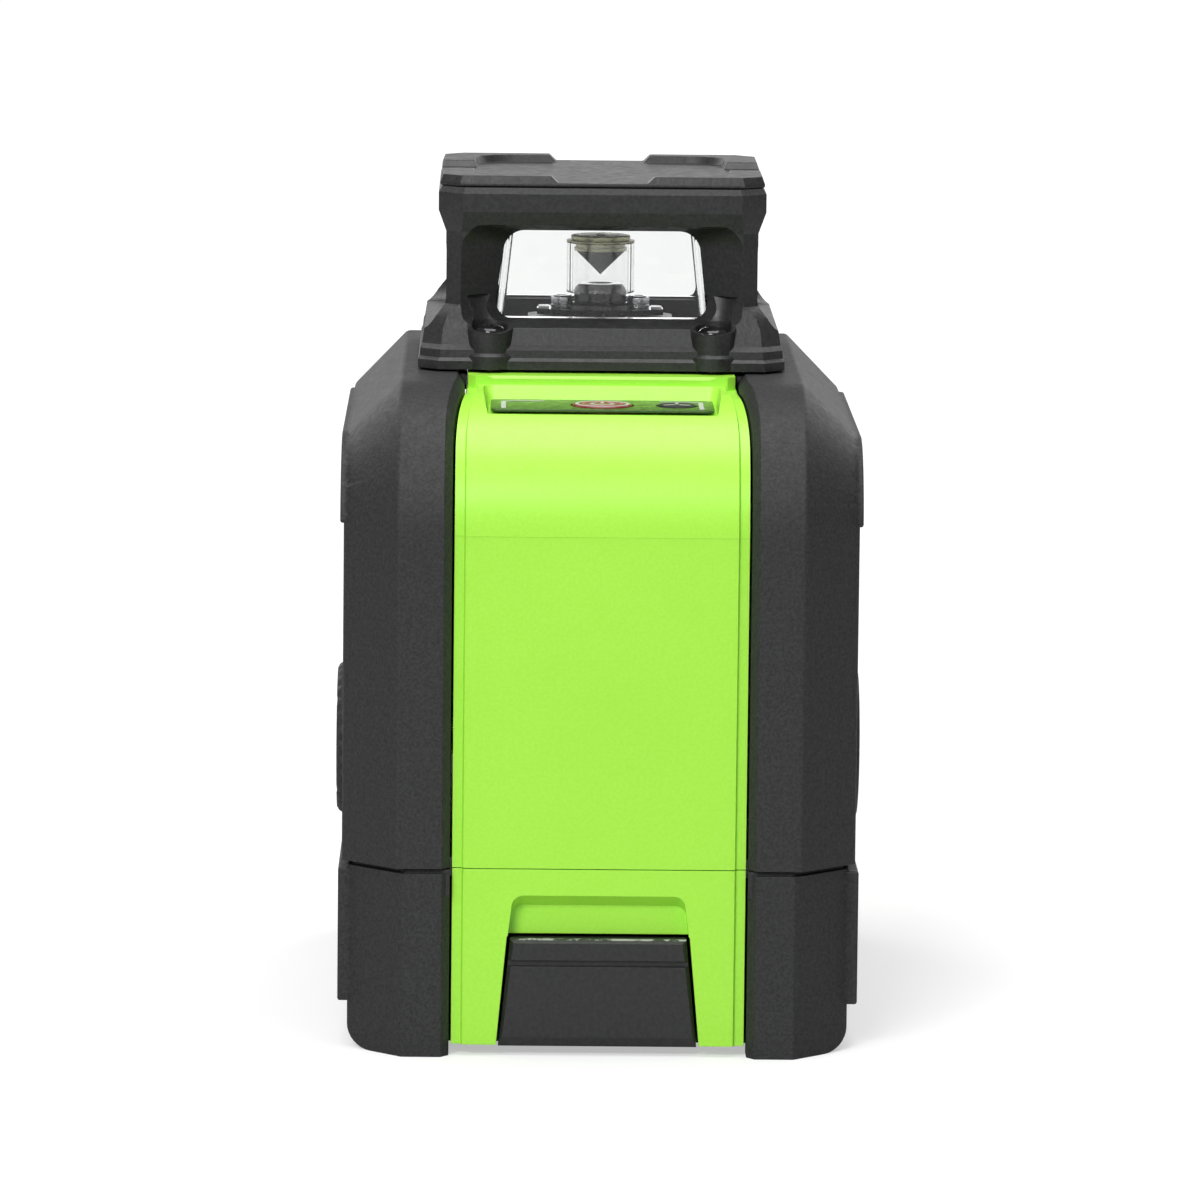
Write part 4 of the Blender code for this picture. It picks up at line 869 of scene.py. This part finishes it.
def make_lantern_cap():
    """A dished top plate with a notch in the middle of each side, on a square plug."""
    low, top = CAP_LOW.z, CAP_HIGH.z
    plate = LANTERN_HIGH.z + 0.3
    half_x, half_y = CAP_HIGH.x, CAP_HIGH.y
    cap = stack("lantern_top", "Z", [
        (chamfered(half_x - 0.2, half_y - 0.2, 2.5), LANTERN_HIGH.z + 0.04),
        (chamfered(half_x, half_y, 2.6), LANTERN_HIGH.z + 0.15),
        (chamfered(half_x, half_y, 2.6), top - 1.0),
        (chamfered(half_x - 0.35, half_y - 0.35, 2.5), top)])
    floor, over = plate + CAP_FLOOR, top + 0.4
    wide = DISH_HALF + 0.6
    hollow = stack("dish", "Z", [(rounded(DISH_HALF, DISH_HALF, DISH_CORNER, 12), floor),
                                 (rounded(wide, wide, DISH_CORNER + 0.4, 12), over)])
    notch = [(-NOTCH_HALF, floor), (NOTCH_HALF, floor), (NOTCH_HALF + NOTCH_FLARE, over),
             (-NOTCH_HALF - NOTCH_FLARE, over)]
    for axis in ("X", "Y"):
        join(hollow, prism("notch", notch, axis, (-24, 24)))
    cut(cap, hollow)
    join(cap, box("plug", (-PLUG_HALF, -PLUG_HALF, low), (PLUG_HALF, PLUG_HALF, plate + 0.1)))
    soften(cap, wide=0.25, narrow=0.13, gentle=(20, 58))
    show(cap, "root", "black_plastic", "lantern_cap")


def make_lantern_screws():
    number, shank, head, seat_z = 0, 1.2, 2.1, 88.9
    for side_x in (-1, 1):
        for side_y in (-1, 1):
            number += 1
            seat = (side_x * BOSS_X, side_y * BOSS_Y)
            dome = [(head * math.cos(turn), seat_z + 0.4 + 1.1 * math.sin(turn))
                    for turn in (math.radians(15 * step) for step in range(6))]
            screw = turned("cage_screw_%d" % number, "Z", seat,
                           [(shank, 78.5), (shank, seat_z), (head, seat_z)] + dome
                           + [(0.3, seat_z + 1.5)], 40)
            cut(screw, prism("socket", circle(0.85, 6, seat), "Z", (seat_z + 0.8, 92)))
            soften(screw, wide=0.12, narrow=0.08, gentle=(24, 58))
            show(screw, "root", "gloss_black", "lantern_screw_%d" % number)


# ------------------------ keypad

def ink(name, outline, level, rides, slot, material):
    """A printed mark on a level face."""
    print_layer = prism(name, outline, "Z", (level, level + PRINT))
    show(print_layer, rides, slot, material=material)


def ring_arc(centre, inner, outer, start, end, steps=32):
    return arc(centre, outer, start, end, steps) + arc(centre, inner, end, start, steps)


def printed_ring(name, centre, inner, outer, level, rides, slot, material):
    ring = revolved(name, "Z", centre, [(inner, level), (outer, level), (outer, level + PRINT),
                                        (inner, level + PRINT)])
    show(ring, rides, slot, material=material)


def make_label():
    """The overlay around the buttons, with a printed bracket at each end."""
    depth = (LABEL_HIGH.y - LABEL_LOW.y) / 2
    middle = (LABEL_HIGH.y + LABEL_LOW.y) / 2
    label = prism("keypad_overlay", rounded(LABEL_HIGH.x, depth, 1.0, 6, (0, middle)), "Z",
                  (LABEL_LOW.z, LABEL_HIGH.z))
    cut_button_holes(label)
    soften(label, wide=0.1, narrow=0.08)
    show(label, "root", "black_plastic", "keypad_label", material="label_green")
    near, far = BUTTON_Y - 4.6, BUTTON_Y + 4.6
    for number, side in enumerate((-1, 1)):
        outer, inner, corner, end = side * 12.9, side * 12.3, side * 11.3, side * 7.4
        bracket = [(outer, near), (outer, far - 1.2), (corner, far), (end, far),
                   (end, far - 0.4), (corner, far - 0.4), (inner, far - 1.4), (inner, near)]
        ink("bracket_print_%d" % (number + 1), bracket, LABEL_HIGH.z, "root", "black_plastic",
            "white_ink")


def button_cap(name, x, radius, low, top):
    cap = turned(name, "Z", (x, BUTTON_Y), [
        (radius * 0.53, low), (radius * 0.53, BUTTON_FOOT), (radius, BUTTON_FOOT),
        (radius, top - 0.12), (radius - 0.12, top), (0.0, top)])
    smooth(cap)
    return cap


def make_buttons():
    level, centre = LABEL_HIGH.z + BUTTON_RISE, (0, BUTTON_Y)
    on_power, on_mode = (level, "power_button", "red_plastic"), (level, "mode_button", "rubber")
    power = button_cap("power_cap", 0, POWER_RADIUS, POWER_LOW.z, level)
    show(power, "power_button", "red_plastic", "power_button")
    printed_ring("power_ring_print", centre, 3.05, 3.5, *on_power, "white_ink")
    printed_ring("power_inner_print", centre, 2.35, 2.6, *on_power, "pink_ink")
    ink("power_arc_print", ring_arc(centre, 1.15, 1.6, 125, 415), *on_power, "white_ink")
    near, far = BUTTON_Y + 0.4, BUTTON_Y + 2.0
    ink("power_bar_print", [(-STROKE, near), (STROKE, near), (STROKE, far), (-STROKE, far)],
        *on_power, "white_ink")
    mode = button_cap("mode_cap", MODE_X, MODE_RADIUS, MODE_LOW.z, level)
    show(mode, "mode_button", "rubber", "mode_button")
    for index in range(3):
        along = Vector((1.0, 0.0))
        along.rotate(Matrix.Rotation(math.radians(90 + 120 * index), 2))
        across = Vector((-along.y, along.x)) * STROKE
        start, tip = (Vector((MODE_X, BUTTON_Y)) + along * reach for reach in (0.4, 1.9))
        ink("mode_print_%d" % (index + 1),
            [tuple(point) for point in (start - across, start + across, tip + across,
                                        tip - across)],
            *on_mode, "white_ink")


# ------------------------ lock knob

def make_knob():
    """A fluted knob with a grip bar between two finger wells."""
    outer, inner, flutes = KNOB_LOW.x, KNOB_HIGH.x, 30
    def fluted(radius, depth):
        points = []
        for step in range(flutes * 6):
            turn = math.tau * step / (flutes * 6)
            reach = radius - depth * (0.5 - 0.5 * math.cos(flutes * turn)) ** 2
            points.append((KNOB_Y + reach * math.cos(turn), KNOB_Z + reach * math.sin(turn)))
        return points
    face = outer + PRINT
    knob = stack("grip_knob", "X", [
        (fluted(KNOB_RADIUS - 1.3, 0.0), face), (fluted(KNOB_RADIUS - 0.85, 0.25), face + 0.25),
        (fluted(KNOB_RADIUS - 0.5, 0.4), outer + 0.8), (fluted(KNOB_RADIUS, 0.4), inner)])
    for side in (-1, 1):
        middle = (KNOB_Y + side * 5.0, KNOB_Z)
        mouth, floor = rounded(2.6, 6.6, 2.0, 8, middle), rounded(1.7, 5.8, 1.5, 8, middle)
        cut(knob, stack("well", "X", [(mouth, -40.0), (mouth, outer), (floor, outer + 1.7)]))
    cut(knob, rod("socket", "X", (KNOB_Y, KNOB_Z), (-31.9, -28), 2.3, 32))
    soften(knob, wide=0.35, narrow=0.2, gentle=(30, 58))
    show(knob, "lock_knob", "rubber", "lock_knob")
    mark = [(KNOB_Y + y, KNOB_Z + z) for y, z in ((-0.45, 3.2), (0.45, 3.2), (0.45, 8.2),
                                                  (-0.45, 8.2))]
    pointer = prism("knob_pointer_print", mark, "X", (outer, face + 0.02))
    show(pointer, "lock_knob", "rubber", material="white_ink")


# ------------------------ mirror column

def make_column_holder():
    """The flange and collar that hold the glass tube, with a screw on each side."""
    outline = [(8.3, 1.2), (7.6, 2.2), (3.4, 4.6), (-3.4, 4.6), (-7.6, 2.2), (-8.3, 1.2),
               (-8.3, -1.2), (-7.6, -2.2), (-3.4, -4.6), (3.4, -4.6), (7.6, -2.2), (8.3, -1.2)]
    holder = prism("column_flange", outline, "Z", (HOLDER_LOW.z, FLANGE_TOP))
    join(holder, turned("collar", "Z", (0, 0), [
        (4.2, FLANGE_TOP - 0.2), (4.2, FLANGE_TOP + 0.5), (COLLAR_RADIUS, FLANGE_TOP + 0.8),
        (COLLAR_RADIUS, FLANGE_TOP + 2.2), (COLLAR_RADIUS - 0.15, FLANGE_TOP + 2.7),
        (2.9, HOLDER_HIGH.z - 0.1), (2.6, HOLDER_HIGH.z)]))
    cut(holder, rod("laser_exit", "Z", (0, 0), (85, 99), 1.6))
    for side in (-1, 1):
        cut(holder, rod("flange_hole", "Z", (side * FLANGE_SCREW_X, 0), (85, 92), 1.1))
    soften(holder, wide=0.2, narrow=0.12)
    show(holder, "pendulum", "black_plastic", "tube_holder", material="gloss_black")
    shank, head, rest = 0.8, 1.45, FLANGE_TOP + 0.05
    for name, side in (("left", -1), ("right", 1)):
        seat = (side * FLANGE_SCREW_X, 0)
        screw = turned("column_screw_" + name, "Z", seat, [
            (shank, 86.4), (shank, rest), (head, rest), (head, rest + 1.35),
            (head - 0.15, rest + 1.6), (0.0, rest + 1.6)], 40)
        cut(screw, prism("socket", circle(0.75, 6, seat), "Z", (rest + 0.95, 94)))
        soften(screw, wide=0.1, narrow=0.08)
        show(screw, "pendulum", "steel", "flange_screw_" + name)
        tip = prism("flange_tip_" + name, [(side * 6.7, -1.6), (side * 8.1, -1.1),
                                           (side * 8.1, 1.1), (side * 6.7, 1.6)], "Z",
                    (FLANGE_TOP - 0.1, FLANGE_TOP + 0.25))
        soften(tip, wide=0.12, narrow=0.08)
        show(tip, "pendulum", "steel", material="aluminium")


def make_mirror_column():
    """A glass tube carrying ringed discs and the cone mirror that hangs from them."""
    inner, outer, low, rest = TUBE_RADIUS - 0.775, TUBE_RADIUS, TUBE_LOW.z, TUBE_HIGH.z
    tube = revolved("column_tube", "Z", (0, 0), [
        (inner, low + 0.1), (inner + 0.1, low), (outer - 0.1, low), (outer, low + 0.1),
        (outer, rest - 0.1), (outer - 0.1, rest), (inner + 0.1, rest), (inner, rest - 0.1)], 72)
    smooth(tube)
    show(tube, "pendulum", "clear_glass", "glass_tube")
    cone = turned("cone_face", "Z", (0, 0), [
        (0.02, CONE_TIP), (CONE_RADIUS, CONE_RIM), (CONE_RADIUS, CONE_EDGE),
        (CONE_RADIUS - 0.2, CONE_EDGE + 0.02)], 96)
    smooth(cone, 60)
    # the cone's face is near black metal, a painted dark reflection
    show(cone, "pendulum", "mirror", material="dark_mirror")
    discs = turned("cone_discs", "Z", (0, 0), [
        (3.0, 98.25), (3.45, 98.3), (3.45, 98.75), (3.25, 98.8), (3.25, rest - 0.1),
        (3.45, rest - 0.05), (3.45, rest + 0.02), (outer, rest + 0.02),
        (outer, rest + 0.22), (3.6, rest + 0.25), (3.6, rest + 0.35), (3.9, rest + 0.4),
        (3.9, rest + 0.8), (3.6, rest + 0.9), (0.6, rest + 0.9), (0.6, CONE_HIGH.z),
        (0.0, CONE_HIGH.z)], 72)
    smooth(discs, 30)
    show(discs, "pendulum", "mirror", "cone_mirror", material="olive_metal")


# ------------------------ nodes that stay as they are

NODE_LOOKS = {"pendulum_body": "dark_metal"}      # anodised black
NODE_EDGE = 0.18


def dress_cad_nodes():
    slots = {entry["node"]: entry["material_slot"] for entry in frame["record"]["subparts"]}
    for name, node in sorted(frame["nodes"].items()):
        if node.hide_render:
            continue
        node.data.materials.clear()
        node.data.materials.append(MATERIALS[NODE_LOOKS.get(name, slots[name])])
        edges = node.modifiers.new("edges", "BEVEL")
        edges.limit_method = "ANGLE"
        edges.angle_limit = math.radians(40)
        edges.width = NODE_EDGE * MM
        edges.segments = 2
        normals = node.modifiers.new("normals", "WEIGHTED_NORMAL")
        normals.keep_sharp = True


# ------------------------ floor, light and camera

# Name, place, height aimed at, width and height in metres, and watts
LAMPS = (("overhead", (0, -0.1, 1.1), 0.05, (0.9, 0.7), 9),
         ("key_rear", (-0.5, -1.4, 0.95), 0.06, (0.7, 0.4), 18),
         ("low_front", (0, 1.9, 0.42), 0.08, (2.2, 0.5), 5),
         ("front_left", (-0.75, 0.9, 0.75), 0.06, (0.6, 0.6), 4),
         ("front_right", (0.7, 0.95, 0.75), 0.06, (0.6, 0.6), 4))
GLOW = (0.46, 0.9)            # the floor's own brightness, near and far
GLOW_REACH = (0.4, 2.2)       # in metres from the level
SKY = (0.20, 1.0)             # as a light and as seen
LENS = 240.4
CAMERA_PLACE = Vector((-13.0, -1052.0, 190.0))
CAMERA_TARGET = Vector((-0.25, -52.0, 58.64))
CAMERA_LEAN = 0.6             # degrees


def area_light(name, place, target, size, power):
    lamp = bpy.data.lights.new(name, "AREA")
    lamp.shape = "RECTANGLE"
    lamp.size, lamp.size_y = size
    lamp.energy = power
    holder = bpy.data.objects.new(name, lamp)
    bpy.context.scene.collection.objects.link(holder)
    holder.location = place
    aim = Vector(target) - Vector(place)
    holder.rotation_euler = aim.to_track_quat("-Z", "Y").to_euler()
    holder.visible_camera = False


def seen_directly(tree):
    """1 where the surface is seen straight or through glass, 0 where it only sends light."""
    rays = tree.nodes.new("ShaderNodeLightPath")
    seen = tree.nodes.new("ShaderNodeMath")
    seen.operation = "MAXIMUM"
    tree.links.new(rays.outputs["Is Camera Ray"], seen.inputs[0])
    tree.links.new(rays.outputs["Is Transmission Ray"], seen.inputs[1])
    return seen.outputs["Value"]


def make_stage():
    shape = bmesh.new()
    bmesh.ops.create_grid(shape, x_segments=1, y_segments=1, size=6000)
    floor = to_object("floor", shape)
    material, tree, shader = shader_tree("floor_paper")
    drift = remap(tree, noise(tree, 6.0, 2.0), 0.3, 0.7, 0.0, 1.0)
    tree.links.new(mixed(tree, drift, (0.52, 0.52, 0.52), (0.55, 0.55, 0.55)),
                   shader.inputs["Base Color"])
    shader.inputs["Roughness"].default_value = 0.9
    shader.inputs["Specular IOR Level"].default_value = 0.0
    shader.inputs["Emission Color"].default_value = (1, 1, 1, 1)
    ground = tree.nodes.new("ShaderNodeVectorMath")
    ground.operation = "LENGTH"
    tree.links.new(tree.nodes["Texture Coordinate"].outputs["Object"], ground.inputs[0])
    far = remap(tree, ground.outputs["Value"], *GLOW_REACH, *GLOW)
    glow = tree.nodes.new("ShaderNodeMath")
    glow.operation = "MULTIPLY"
    tree.links.new(far, glow.inputs[0])
    tree.links.new(seen_directly(tree), glow.inputs[1])
    tree.links.new(glow.outputs["Value"], shader.inputs["Emission Strength"])
    floor.data.materials.append(material)
    world = bpy.data.worlds.new("studio")
    world.use_nodes = True
    bpy.context.scene.world = world
    tree = world.node_tree
    background = tree.nodes["Background"]
    background.inputs["Color"].default_value = (1, 1, 1, 1)
    tree.links.new(remap(tree, seen_directly(tree), 0, 1, *SKY), background.inputs["Strength"])
    for name, place, aim_height, size, watts in LAMPS:
        area_light(name, place, (0, 0, aim_height), size, watts)


def make_camera():
    lens = bpy.data.cameras.new("camera")
    lens.lens = LENS
    lens.sensor_width = 36.0
    lens.clip_start = 0.01
    holder = bpy.data.objects.new("camera", lens)
    bpy.context.scene.collection.objects.link(holder)
    place, target = CAMERA_PLACE * MM, CAMERA_TARGET * MM
    turn = (target - place).to_track_quat("-Z", "Y").to_matrix().to_4x4()
    lean = Matrix.Rotation(math.radians(CAMERA_LEAN), 4, "Z")
    holder.matrix_world = Matrix.Translation(place) @ turn @ lean
    bpy.context.scene.camera = holder
    bpy.context.scene.view_settings.view_transform = "Standard"


# ------------------------ assembly

make_camera()
make_stage()
for sign in (-1, 1):
    make_side_shell(sign)
    make_base_shell(sign)
make_rear_spine()
make_front_spine()
make_base_rear_panel()
make_latch()
make_tripod_insert()
make_lantern_frame()
make_lantern_glass()
make_lantern_cap()
make_lantern_screws()
make_label()
make_buttons()
make_knob()
make_column_holder()
make_mirror_column()
dress_cad_nodes()
